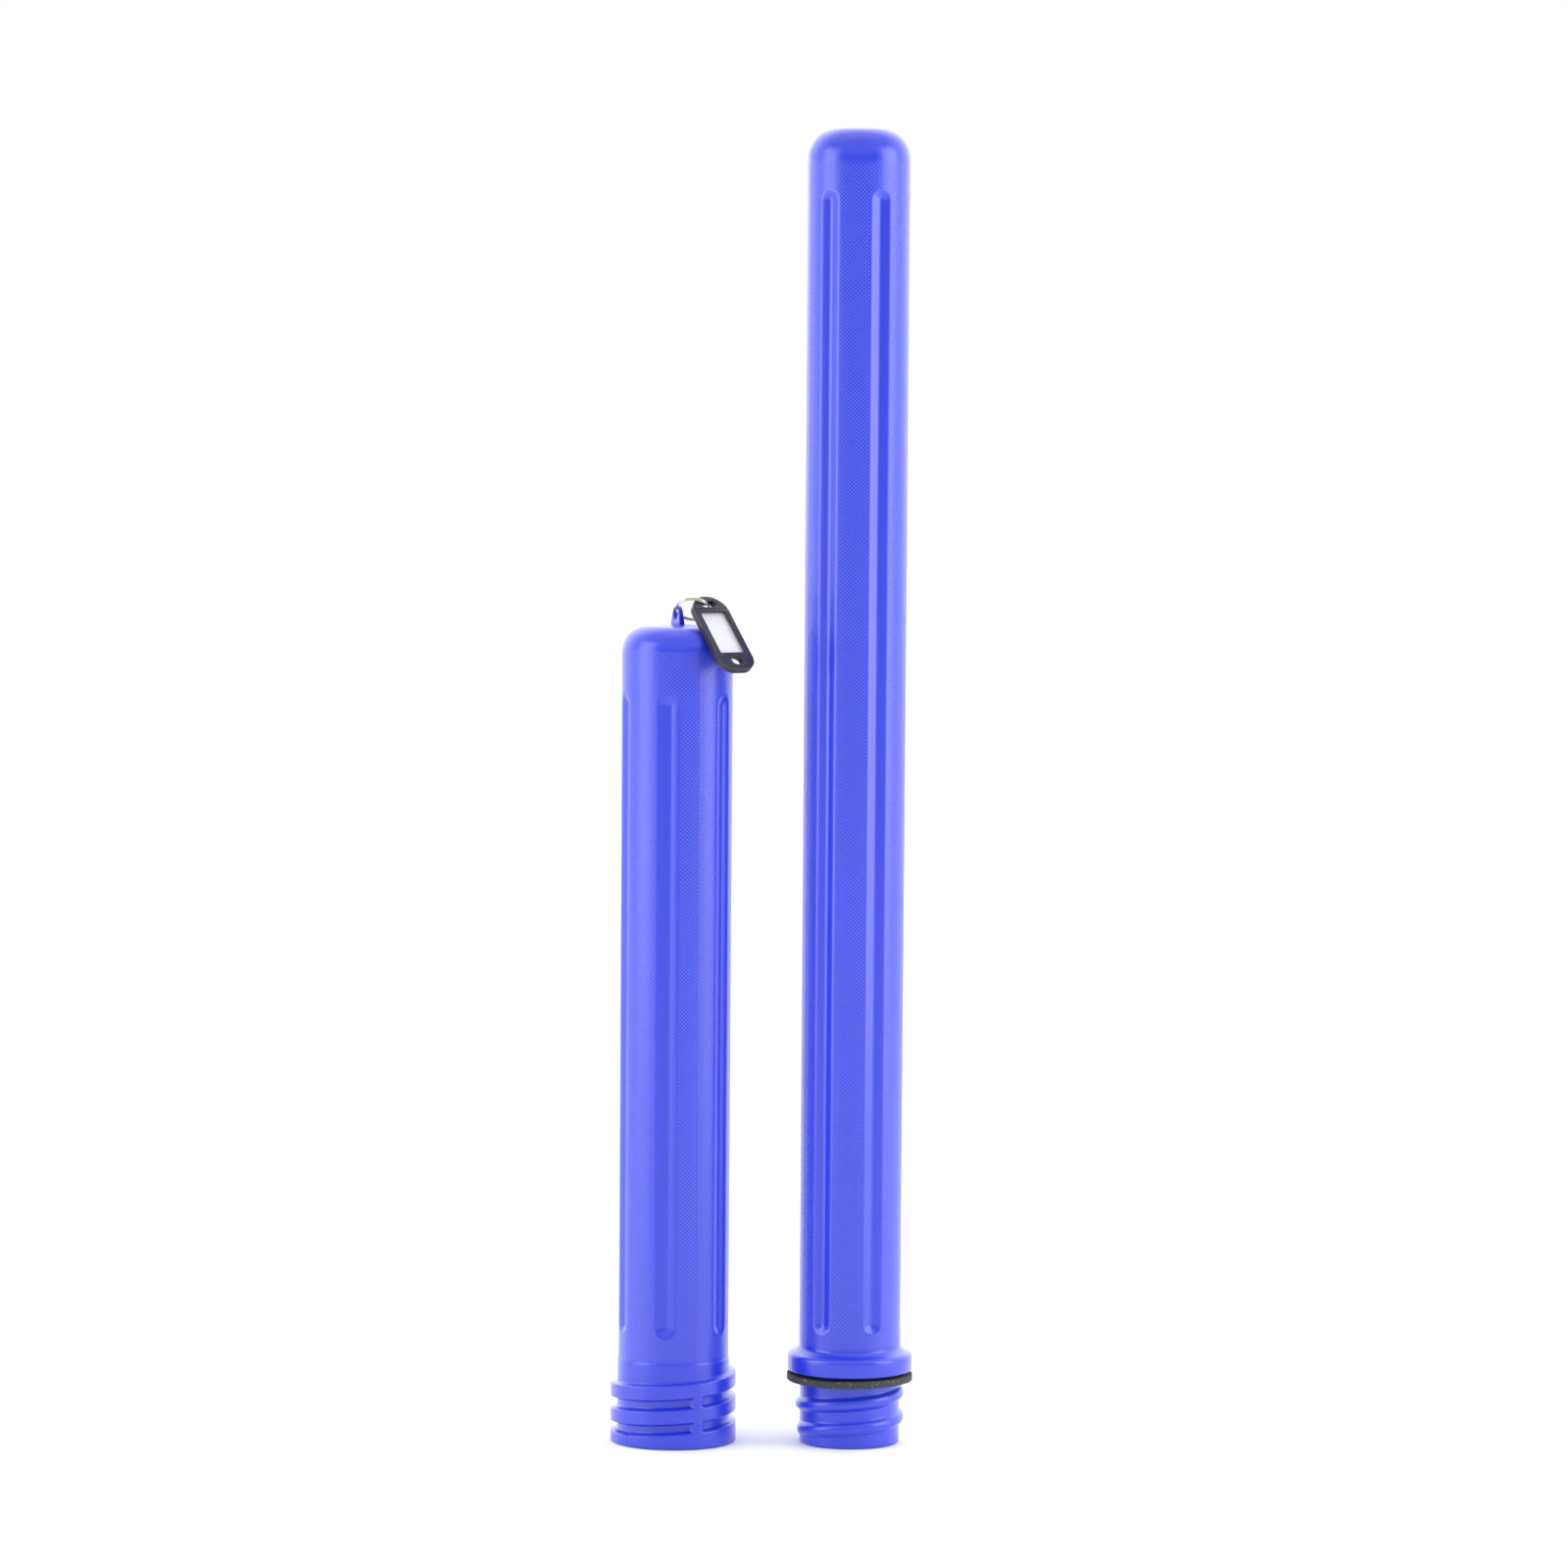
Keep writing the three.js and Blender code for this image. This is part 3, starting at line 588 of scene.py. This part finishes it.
def press_long(piece, sizes, flutes, flute_sizes):
    """Presses the flutes, thread and parting line into the long half."""
    azimuth, radius, height = read_points(piece, LONG_AXIS)
    parting = np.degrees(sizes.parting)
    azimuth = gathered_azimuth(azimuth, parting)
    barrel, neck = sizes.radius / MM, sizes.neck_radius / MM
    top = sizes.height / MM
    outer = radius > np.where(height < sizes.neck_length / MM, neck, barrel) - WALL / 2
    nearest = flute_shape(azimuth, height, barrel, parting, *flutes, flute_sizes.width / MM)
    pressed = radius - flute_sizes.depth / MM * flute_depth(nearest) * (height > flutes[0] - 5)
    off, stands = helix_offset(azimuth, height, -110, 1.72, 7.5, 45)
    ridge = 2.7 * np.sin(pi / 2 * np.clip((4.3 - np.abs(off)) / 3.5, 0, 1)) ** 1.15
    pressed = pressed + np.where(outer & (height < 37), ridge * stands, 0)
    skin = outer & (height > 0.9) & (radius > 2)
    pressed = pressed + np.where(skin, 0.13 * flash_line(azimuth, np.maximum(radius, 1), parting), 0)
    write_points(piece, LONG_AXIS, azimuth, pressed, height)
    on_barrel = eased((height - 58.5) / 1.5) * eased((top - 20 - height) / 1.5)
    write_grip(piece, np.where(outer, on_barrel * eased((nearest - 1.02) / 0.12), 0))


class DRAWINGTUBE_OT_long_half(bpy.types.Operator):
    """Spin the long half, press its flutes and thread, and finish it in blue polyethylene"""

    bl_idname = "drawing_tube.long_half"
    bl_label = "Long Half"

    def execute(self, context):
        sizes = context.scene.drawing_tube_long
        flutes = (67, sizes.height / MM - 37)
        piece = spun(long_profile(sizes, flutes), LONG_AXIS, COLUMNS)
        press_long(piece, sizes, flutes, context.scene.drawing_tube_flutes)
        smooth_by_angle(piece, 75)
        finish = polyethylene_blow_moulded(
            "blue_polyethylene_long_half", LONG_AXIS, sizes.radius, sizes.parting,
            context.scene.drawing_tube_colours.polyethylene,
        )
        settle(piece, "long_half_moulding", finish, "long_tube", "blue_polyethylene", "long_tube")
        return {"FINISHED"}


# ---------------------------------------------------------------- the short half


def short_profile(sizes, flutes):
    """Outline of the short half in millimetres: up the outside, then down the bore."""
    barrel, collar, top = sizes.radius / MM, sizes.collar_radius / MM, sizes.height / MM
    socket = 30.3
    bottom, high = flutes
    outside = [(34, 0.6), (34.5, 0), (collar - 0.9, 0), (collar - 0.25, 0.25), (collar, 0.9)]
    outside += [(collar, height) for height in rows((1.3, 45, 0.4), (45, 48.6, 1.2))]
    outside += [(collar, 49), (collar - 0.05, 49.5), (collar - 0.2, 49.8), (barrel + 0.05, 50), (barrel, 50.4)]
    outside += barrel_rows(barrel, 51, bottom, high, top - 16, 0.8)
    outside += dome_outline(barrel, top, 15, 14.5, 1, 22)
    bore = barrel - WALL
    inside = dome_outline(bore, top - WALL, 15 - WALL, 14.5 - WALL, 1, 8)[::-1][1:]
    inside += barrel_rows(bore, 52, bottom, high, top - 18, 1.8)[::-1]
    inside += [(socket, height) for height in rows((48, 7.5, 0.9))]
    inside += [(31.5, 5.6), (33.6, 4.4), (34, 3.6), (34, 2)]
    return outside + inside + outside[:1]


RIB_START = -60                  # azimuth where the rib leaves the rim
RIB_START_HEIGHT = 4.9 + PITCH * RIB_START / 360
RIB_TURNS = 2.5 - RIB_START / 360


def press_short(piece, sizes, flutes, flute_sizes):
    """Presses the flutes, ribs, parting bars and socket groove into the short half."""
    azimuth, radius, height = read_points(piece, SHORT_AXIS)
    parting = np.degrees(sizes.parting)
    azimuth = gathered_azimuth(azimuth, parting)
    barrel, collar = sizes.radius / MM, sizes.collar_radius / MM
    proud = sizes.rib_radius / MM - collar
    outer = radius > np.where(height < 50, collar, barrel) - 1.2
    outer &= (radius < collar + 0.1) | (height > 47)
    nearest = flute_shape(azimuth, height, barrel, parting, *flutes, flute_sizes.width / MM)
    pressed = radius - flute_sizes.depth / MM * flute_depth(nearest) * (height > flutes[0] - 5)
    off, stands = helix_offset(azimuth, height, RIB_START, RIB_TURNS, RIB_START_HEIGHT, 22)
    rib = eased((5.3 - np.abs(off)) / 1.6) * stands
    rim = eased((8.0 - height) / 1.6)
    aside = np.abs(np.radians((azimuth - parting + 90) % 180 - 90)) * collar
    bar_top = np.where(np.abs(wrapped(azimuth - parting)) < 90, 34, 27)
    bar = eased((4.1 - aside) / 1.4) * eased((bar_top - height) / 2)
    lip = eased((height + 0.4) / 1.6)
    relief = np.maximum(np.maximum(rib, rim), bar) * (0.86 + 0.14 * lip)
    pressed = pressed + np.where(outer & (height < 47), proud * relief, 0)
    groove_off, groove_stands = helix_offset(azimuth, height, 30, 2.3, 6.1, 22)
    groove = 2.9 * eased((4.2 - np.abs(groove_off)) / 2.2) * groove_stands
    pressed = pressed + np.where(~outer & (height > 7) & (height < 47), groove, 0)
    skin = outer & (height > 0.9) & (radius > 2)
    pressed = pressed + np.where(skin, 0.13 * flash_line(azimuth, np.maximum(radius, 1), parting), 0)
    write_points(piece, SHORT_AXIS, azimuth, pressed, height)
    top = sizes.height / MM
    on_barrel = eased((height - 50.6) / 0.8) * eased((top - 14 - height) / 1.5)
    write_grip(piece, np.where(outer, on_barrel * eased((nearest - 1.02) / 0.12), 0))


class DRAWINGTUBE_OT_short_half(bpy.types.Operator):
    """Spin the short half, press its flutes, ribs and socket, and add the hanging eye"""

    bl_idname = "drawing_tube.short_half"
    bl_label = "Short Half"

    def execute(self, context):
        sizes = context.scene.drawing_tube_short
        flutes = (65, sizes.height / MM - 40)
        piece = spun(short_profile(sizes, flutes), SHORT_AXIS, COLUMNS)
        press_short(piece, sizes, flutes, context.scene.drawing_tube_flutes)
        smooth_by_angle(piece, 75)
        finish = polyethylene_blow_moulded(
            "blue_polyethylene_short_half", SHORT_AXIS, sizes.radius, sizes.parting,
            context.scene.drawing_tube_colours.polyethylene,
        )
        settle(piece, "short_half_moulding", finish, "short_tube", "blue_polyethylene", "short_tube")
        eye = hanging_eye(sizes)
        settle(eye, "hanging_eye", finish, "short_tube", "blue_polyethylene")
        return {"FINISHED"}


def hanging_eye(sizes):
    """The flat tab with a hole that the mould's halves pinch out on top of the dome."""
    rise, width, foot, thickness = 10.8 * MM, 10.1 * MM, 13.4 * MM, 2.6 * MM
    sunk = 1.2 * MM
    deselect()
    bpy.ops.mesh.primitive_cube_add(size=1)
    eye = bpy.context.object
    eye.dimensions = (width, thickness, rise + sunk)
    bpy.ops.object.transform_apply(scale=True)
    eye.location.z = (rise - sunk) / 2
    bpy.ops.object.transform_apply(location=True)
    edit_edges(eye, lambda a, b: min(a.z, b.z) > rise / 2 and abs(a.x - b.x) < MM and abs(a.y - b.y) > MM)
    bpy.ops.mesh.bevel(offset=width * 0.49, segments=12, affect="EDGES")
    bpy.ops.object.mode_set(mode="OBJECT")
    for vertex in eye.data.vertices:
        if vertex.co.z < 0:
            vertex.co.x *= foot / width
            vertex.co.y *= 1.5
    deselect()
    bpy.ops.mesh.primitive_cylinder_add(vertices=40, radius=3.56 * MM, depth=20 * MM, rotation=(pi / 2, 0, 0))
    hole = bpy.context.object
    hole.location.z = 6.16 * MM
    cut(eye, hole)
    apply_modifier(eye, "BEVEL", width=0.45 * MM, segments=3, limit_method="ANGLE", angle_limit=radians(40))
    smooth_by_angle(eye, 45)
    turn = Matrix.Rotation(sizes.parting - pi / 2, 4, "Z")
    eye.matrix_world = Matrix.Translation((SHORT_AXIS.x, SHORT_AXIS.y, sizes.height)) @ turn
    return eye


def edit_edges(piece, chosen):
    """Opens a piece in edit mode with the edges selected whose two ends pass a test."""
    deselect()
    bpy.context.view_layer.objects.active = piece
    piece.select_set(True)
    bpy.ops.object.mode_set(mode="EDIT")
    bpy.ops.mesh.select_mode(type="EDGE")
    bpy.ops.mesh.select_all(action="DESELECT")
    bpy.ops.object.mode_set(mode="OBJECT")
    points = piece.data.vertices
    for edge in piece.data.edges:
        edge.select = bool(chosen(points[edge.vertices[0]].co, points[edge.vertices[1]].co))
    bpy.ops.object.mode_set(mode="EDIT")


# ---------------------------------------------------------------- the sealing ring


class DRAWINGTUBE_OT_sealing_ring(bpy.types.Operator):
    """Spin the flat rubber ring that has slid a little way down the neck"""

    bl_idname = "drawing_tube.sealing_ring"
    bl_label = "Sealing Ring"

    def execute(self, context):
        outer = (SEAL_HIGH.x - SEAL_LOW.x) / 2 / MM
        inner = context.scene.drawing_tube_long.neck_radius / MM + 0.35
        low, high = SEAL_LOW.z / MM, SEAL_HIGH.z / MM
        soft = 0.5
        corners = [(inner, low), (outer, low), (outer, high), (inner, high)]
        signs = [(1, 1), (-1, 1), (-1, -1), (1, -1)]
        profile = []
        for (radius, height), (inward, upward), quarter in zip(corners, signs, (2, 3, 0, 1)):
            for i in range(5):
                turn = (quarter + i / 4) * pi / 2
                profile.append((
                    radius + inward * soft + soft * cos(turn), height + upward * soft + soft * sin(turn)
                ))
        piece = spun(profile + profile[:1], LONG_AXIS, 180)
        azimuth, radius, height = read_points(piece, LONG_AXIS)
        sag = 0.12 * np.sin(np.radians(3 * azimuth)) + 0.08 * np.sin(np.radians(7 * azimuth + 40))
        write_points(piece, LONG_AXIS, azimuth, radius, height + sag)
        smooth_by_angle(piece, 40)
        finish = rubber_die_cut(context.scene.drawing_tube_colours.rubber)
        settle(piece, "rubber_sealing_ring", finish, "sealing_ring", "black_rubber", "sealing_ring")
        return {"FINISHED"}


# ---------------------------------------------------------------- the split ring and key tag

JOINTS = {joint["name"]: joint for joint in frame["joints"]}
EYE_HOLE, TAG_SLOT, CREASE = (Vector(JOINTS[name]["pos_m"]) for name in ("ring_swing", "tag_swing", "tag_flap"))
SLOT_MIDDLE = 22.5               # heights on the tag, from its middle
CREASE_HEIGHT = 18.69
RING_TURNS = 1.93
RING_SPLIT = 10                  # degrees round the ring from the tag to the wire's first end


def basis(across, up, centre):
    """A matrix from a first and a second direction and a centre."""
    turn = Matrix((across, up, across.cross(up))).transposed().to_4x4()
    return Matrix.Translation(centre) @ turn


def ring_place():
    """Where the split ring lies: through the eye and the tag's slot."""
    across = (TAG_SLOT - EYE_HOLE).normalized()
    return basis(across, Vector(JOINTS["ring_swing"]["axis"]).normalized(), (EYE_HOLE + TAG_SLOT) / 2)


def tag_place():
    """Where the tag hangs, from the line of its crease and the wire in its slot."""
    across = -Vector(JOINTS["tag_flap"]["axis"]).normalized()
    aside = CREASE - TAG_SLOT
    aside -= across * aside.dot(across)
    below = (SLOT_MIDDLE - CREASE_HEIGHT) * MM
    ahead = sqrt(aside.length_squared - below * below)
    up = Matrix.Rotation(-atan2(ahead, -below), 3, across) @ aside.normalized()
    out = across.cross(up)
    return basis(across, up, CREASE - (up * CREASE_HEIGHT + out * TAG_FACE) * MM)


class DRAWINGTUBE_OT_split_ring(bpy.types.Operator):
    """Coil the split ring from round wire"""

    bl_idname = "drawing_tube.split_ring"
    bl_label = "Split Ring"

    def execute(self, context):
        sizes = context.scene.drawing_tube_tag
        gap = 0.12 * MM
        rise = (sizes.wire + gap) * RING_TURNS
        deselect()
        bpy.ops.mesh.primitive_circle_add(
            vertices=14, radius=sizes.wire / 2, fill_type="NOTHING",
            location=(sizes.ring / 2, 0, -rise / 2), rotation=(pi / 2, 0, 0),
        )
        piece = bpy.context.object
        bpy.ops.object.transform_apply(location=True, rotation=True)
        apply_modifier(
            piece, "SCREW", axis="Z", angle=pi * RING_TURNS, screw_offset=rise / 2, iterations=2,
            steps=80, render_steps=80, use_merge_vertices=True, merge_threshold=0.002 * MM,
        )
        bpy.ops.object.mode_set(mode="EDIT")
        bpy.ops.mesh.select_mode(type="EDGE")
        bpy.ops.mesh.select_all(action="DESELECT")
        bpy.ops.mesh.select_non_manifold(extend=False)
        bpy.ops.mesh.fill_holes(sides=0)
        bpy.ops.mesh.select_all(action="SELECT")
        bpy.ops.mesh.normals_make_consistent(inside=False)
        bpy.ops.object.mode_set(mode="OBJECT")
        smooth_by_angle(piece, 50)
        piece.matrix_world = ring_place() @ Matrix.Rotation(radians(RING_SPLIT), 4, "Z")
        finish = nickel_plated_wire(context.scene.drawing_tube_colours.nickel)
        settle(piece, "nickel_split_ring", finish, "split_ring", "nickel_wire", "split_ring")
        return {"FINISHED"}


TAG_HALF, TAG_TOP, TAG_FACE = 12, 28.5, 2
HINGE = CREASE_HEIGHT + 0.15
WINDOW = (8.25, -15.5, 16.5)     # half width, bottom and top of the label window


def slab(width, bottom, top, back, front):
    """A rectangular block in the tag's own directions, in millimetres."""
    deselect()
    bpy.ops.mesh.primitive_cube_add(size=1)
    piece = bpy.context.object
    piece.dimensions = (width * MM, (top - bottom) * MM, (front - back) * MM)
    bpy.ops.object.transform_apply(scale=True)
    piece.location = (0, (top + bottom) / 2 * MM, (front + back) / 2 * MM)
    bpy.ops.object.transform_apply(location=True)
    return piece


def round_corners(piece, low, high, low_radius, high_radius):
    """Rounds a slab's upright corners, with one radius below and another above."""
    for end, radius in ((low, low_radius), (high, high_radius)):
        edit_edges(piece, lambda a, b: abs(a.z - b.z) > 0.5 * MM and abs(a.y - end * MM) < 0.1 * MM
                   and abs(b.y - end * MM) < 0.1 * MM and abs(a.x) > 9 * MM)
        bpy.ops.mesh.bevel(offset=radius * MM, segments=16, affect="EDGES")
        bpy.ops.object.mode_set(mode="OBJECT")


def tag_blank():
    """The tag's full outline at full thickness, with the slot and the hanging hole cut."""
    blank = slab(2 * TAG_HALF, -TAG_TOP, TAG_TOP, -TAG_FACE, TAG_FACE)
    round_corners(blank, -TAG_TOP, TAG_TOP, 9, 11.8)
    slot = slab(9.7, SLOT_MIDDLE - 2.3, SLOT_MIDDLE + 2.3, -4, 4)
    edit_edges(slot, lambda a, b: abs(a.z - b.z) > MM)
    bpy.ops.mesh.bevel(offset=2.25 * MM, segments=10, affect="EDGES")
    bpy.ops.object.mode_set(mode="OBJECT")
    cut(blank, slot)
    deselect()
    bpy.ops.mesh.primitive_cylinder_add(vertices=48, radius=3.7 * MM, depth=10 * MM)
    hole = bpy.context.object
    hole.location.y = (-TAG_TOP + 7.5) * MM
    cut(blank, hole)
    return blank


class DRAWINGTUBE_OT_key_tag(bpy.types.Operator):
    """Make the key tag: its back, hinged front frame, clear window and paper label"""

    bl_idname = "drawing_tube.key_tag"
    bl_label = "Key Tag"

    def execute(self, context):
        sizes = context.scene.drawing_tube_tag
        colours = context.scene.drawing_tube_colours
        half, bottom, top = WINDOW
        black = polystyrene_injection_moulded(colours.polystyrene)
        back = tag_blank()
        cut(back, slab(30, -40, HINGE, 0, 5))
        cut(back, slab(2 * half + 2.6, bottom - 1.3, top + 1.3, -1.1, 5))
        front = tag_blank()
        cut(front, slab(30, -40, 40, -5, 0.3))
        cut(front, slab(30, HINGE - 0.3, 40, -5, 5))
        cut(front, slab(2 * half, bottom, top, -5, 5))
        cut(front, slab(2 * half + 2.6, bottom - 1.3, top + 1.3, -1, 1.2))
        for piece in (back, front):
            apply_modifier(
                piece, "BEVEL", width=sizes.edge, segments=4, limit_method="ANGLE",
                angle_limit=radians(60), use_clamp_overlap=True,
            )
            smooth_by_angle(piece, 40)
        card = slab(2 * half + 2, bottom - 1, top + 1, -0.8, -0.4)
        sheet = slab(2 * half + 2, bottom - 1, top + 1, 0.3, 0.9)
        for piece in (card, sheet):
            apply_modifier(piece, "BEVEL", width=0.08 * MM, segments=2)
        place = tag_place()
        for piece in (back, front, card, sheet):
            piece.matrix_world = place
        settle(back, "key_tag_back", black, "tag", "black_polystyrene", "tag_back")
        settle(front, "key_tag_frame", black, "tag_flap", "black_polystyrene", "tag_front")
        settle(card, "paper_label", paper_uncoated(colours.card), "tag", "white_paper", "label_card")
        settle(sheet, "clear_window", clear_sheet_extruded(), "tag_flap", "clear_sheet", "tag_window")
        return {"FINISHED"}


# ---------------------------------------------------------------- the stage


def softbox(name, place, target, size, power, warmth=(1, 1, 1)):
    """A square area light that faces a point."""
    light = bpy.data.lights.new(name, "AREA")
    light.shape = "RECTANGLE"
    light.size, light.size_y = size
    light.energy = power
    light.color = warmth
    holder = bpy.data.objects.new(name, light)
    bpy.context.scene.collection.objects.link(holder)
    holder.location = place
    holder.rotation_euler = (Vector(target) - Vector(place)).to_track_quat("-Z", "Y").to_euler()


def studio_world():
    """A white room that glows most behind the pieces and is dark behind the camera, so that
    round pieces are pale along their edges and keep a deeper colour in the middle."""
    world = bpy.data.worlds.new("studio_room")
    world.use_nodes = True
    tree = world.node_tree
    tree.nodes.clear()
    towards = add_node(tree, "ShaderNodeTexCoord").outputs["Generated"]
    depth = add_node(tree, "ShaderNodeSeparateXYZ", links={"Vector": towards}).outputs["Y"]
    glow = remap(tree, depth, 0.02, 2.0, -0.35, 0.6)
    seen = add_node(tree, "ShaderNodeLightPath").outputs["Is Camera Ray"]
    strength = maths(tree, "MAXIMUM", maths(tree, "MULTIPLY", glow, maths(tree, "SUBTRACT", 1.0, seen)), seen)
    backdrop = add_node(tree, "ShaderNodeBackground", links={"Strength": strength}, Color=(1, 1, 1, 1))
    add_node(tree, "ShaderNodeOutputWorld", links={"Surface": backdrop.outputs[0]})
    return world


class DRAWINGTUBE_OT_stage(bpy.types.Operator):
    """Lay the pale floor, hang the soft lights and place the camera"""

    bl_idname = "drawing_tube.stage"
    bl_label = "Stage"

    def execute(self, context):
        deselect()
        bpy.ops.mesh.primitive_plane_add(size=30)
        floor = context.object
        floor.name = "studio_floor"
        floor.data.materials.append(floor_paper(context.scene.drawing_tube_colours.floor))
        context.scene.world = studio_world()
        context.scene.view_settings.view_transform = "Standard"
        middle = (0, 0, 0.4)
        softbox("left_softbox", (-1.9, -0.75, 0.95), middle, (1.3, 1.9), 27)
        softbox("right_softbox", (1.9, -0.6, 0.95), middle, (1.3, 1.9), 30)
        overhead = bpy.data.objects.new("overhead", bpy.data.lights.new("overhead", "SUN"))
        overhead.data.energy = 1.5
        overhead.data.angle = radians(90)
        overhead.rotation_euler.x = radians(35)
        context.scene.collection.objects.link(overhead)
        camera = bpy.data.cameras.new("camera")
        camera.lens = 136.7
        camera.sensor_width = 36
        camera.clip_end = 50
        holder = bpy.data.objects.new("camera", camera)
        context.scene.collection.objects.link(holder)
        tilt = Matrix.Rotation(radians(90 - 4.05), 4, "X") @ Matrix.Rotation(radians(0.42), 4, "Z")
        holder.matrix_world = Matrix.Translation((0.0108, -3.478, 0.635)) @ tilt
        context.scene.camera = holder
        return {"FINISHED"}


# ---------------------------------------------------------------- the panel and registration

OPERATORS = (
    DRAWINGTUBE_OT_long_half,
    DRAWINGTUBE_OT_short_half,
    DRAWINGTUBE_OT_sealing_ring,
    DRAWINGTUBE_OT_split_ring,
    DRAWINGTUBE_OT_key_tag,
    DRAWINGTUBE_OT_stage,
)
GROUPS = {
    "drawing_tube_long": LongHalfSizes,
    "drawing_tube_short": ShortHalfSizes,
    "drawing_tube_flutes": FluteSizes,
    "drawing_tube_tag": TagSizes,
    "drawing_tube_colours": FinishColours,
}


class DRAWINGTUBE_PT_sidebar(bpy.types.Panel):
    """Lists the pieces that can be built, and their sizes and colours"""

    bl_idname = "DRAWINGTUBE_PT_sidebar"
    bl_label = "Drawing Tube"
    bl_space_type = "VIEW_3D"
    bl_region_type = "UI"
    bl_category = "Drawing Tube"

    def draw(self, context):
        for operator in OPERATORS:
            self.layout.operator(operator.bl_idname)
        for name, group in GROUPS.items():
            box = self.layout.box()
            for field in group.__annotations__:
                box.prop(getattr(context.scene, name), field)


def register():
    """Registers the sizes, operators and panel."""
    for cls in (*GROUPS.values(), *OPERATORS, DRAWINGTUBE_PT_sidebar):
        bpy.utils.register_class(cls)
    for name, group in GROUPS.items():
        setattr(bpy.types.Scene, name, bpy.props.PointerProperty(type=group))


def unregister():
    """Removes what register added."""
    for name in GROUPS:
        delattr(bpy.types.Scene, name)
    for cls in (DRAWINGTUBE_PT_sidebar, *reversed(OPERATORS), *GROUPS.values()):
        bpy.utils.unregister_class(cls)


def main():
    """Registers the add-on, then builds every piece and the stage."""
    register()
    bpy.ops.drawing_tube.long_half()
    bpy.ops.drawing_tube.short_half()
    bpy.ops.drawing_tube.sealing_ring()
    bpy.ops.drawing_tube.split_ring()
    bpy.ops.drawing_tube.key_tag()
    bpy.ops.drawing_tube.stage()


if __name__ == "__main__":
    main()
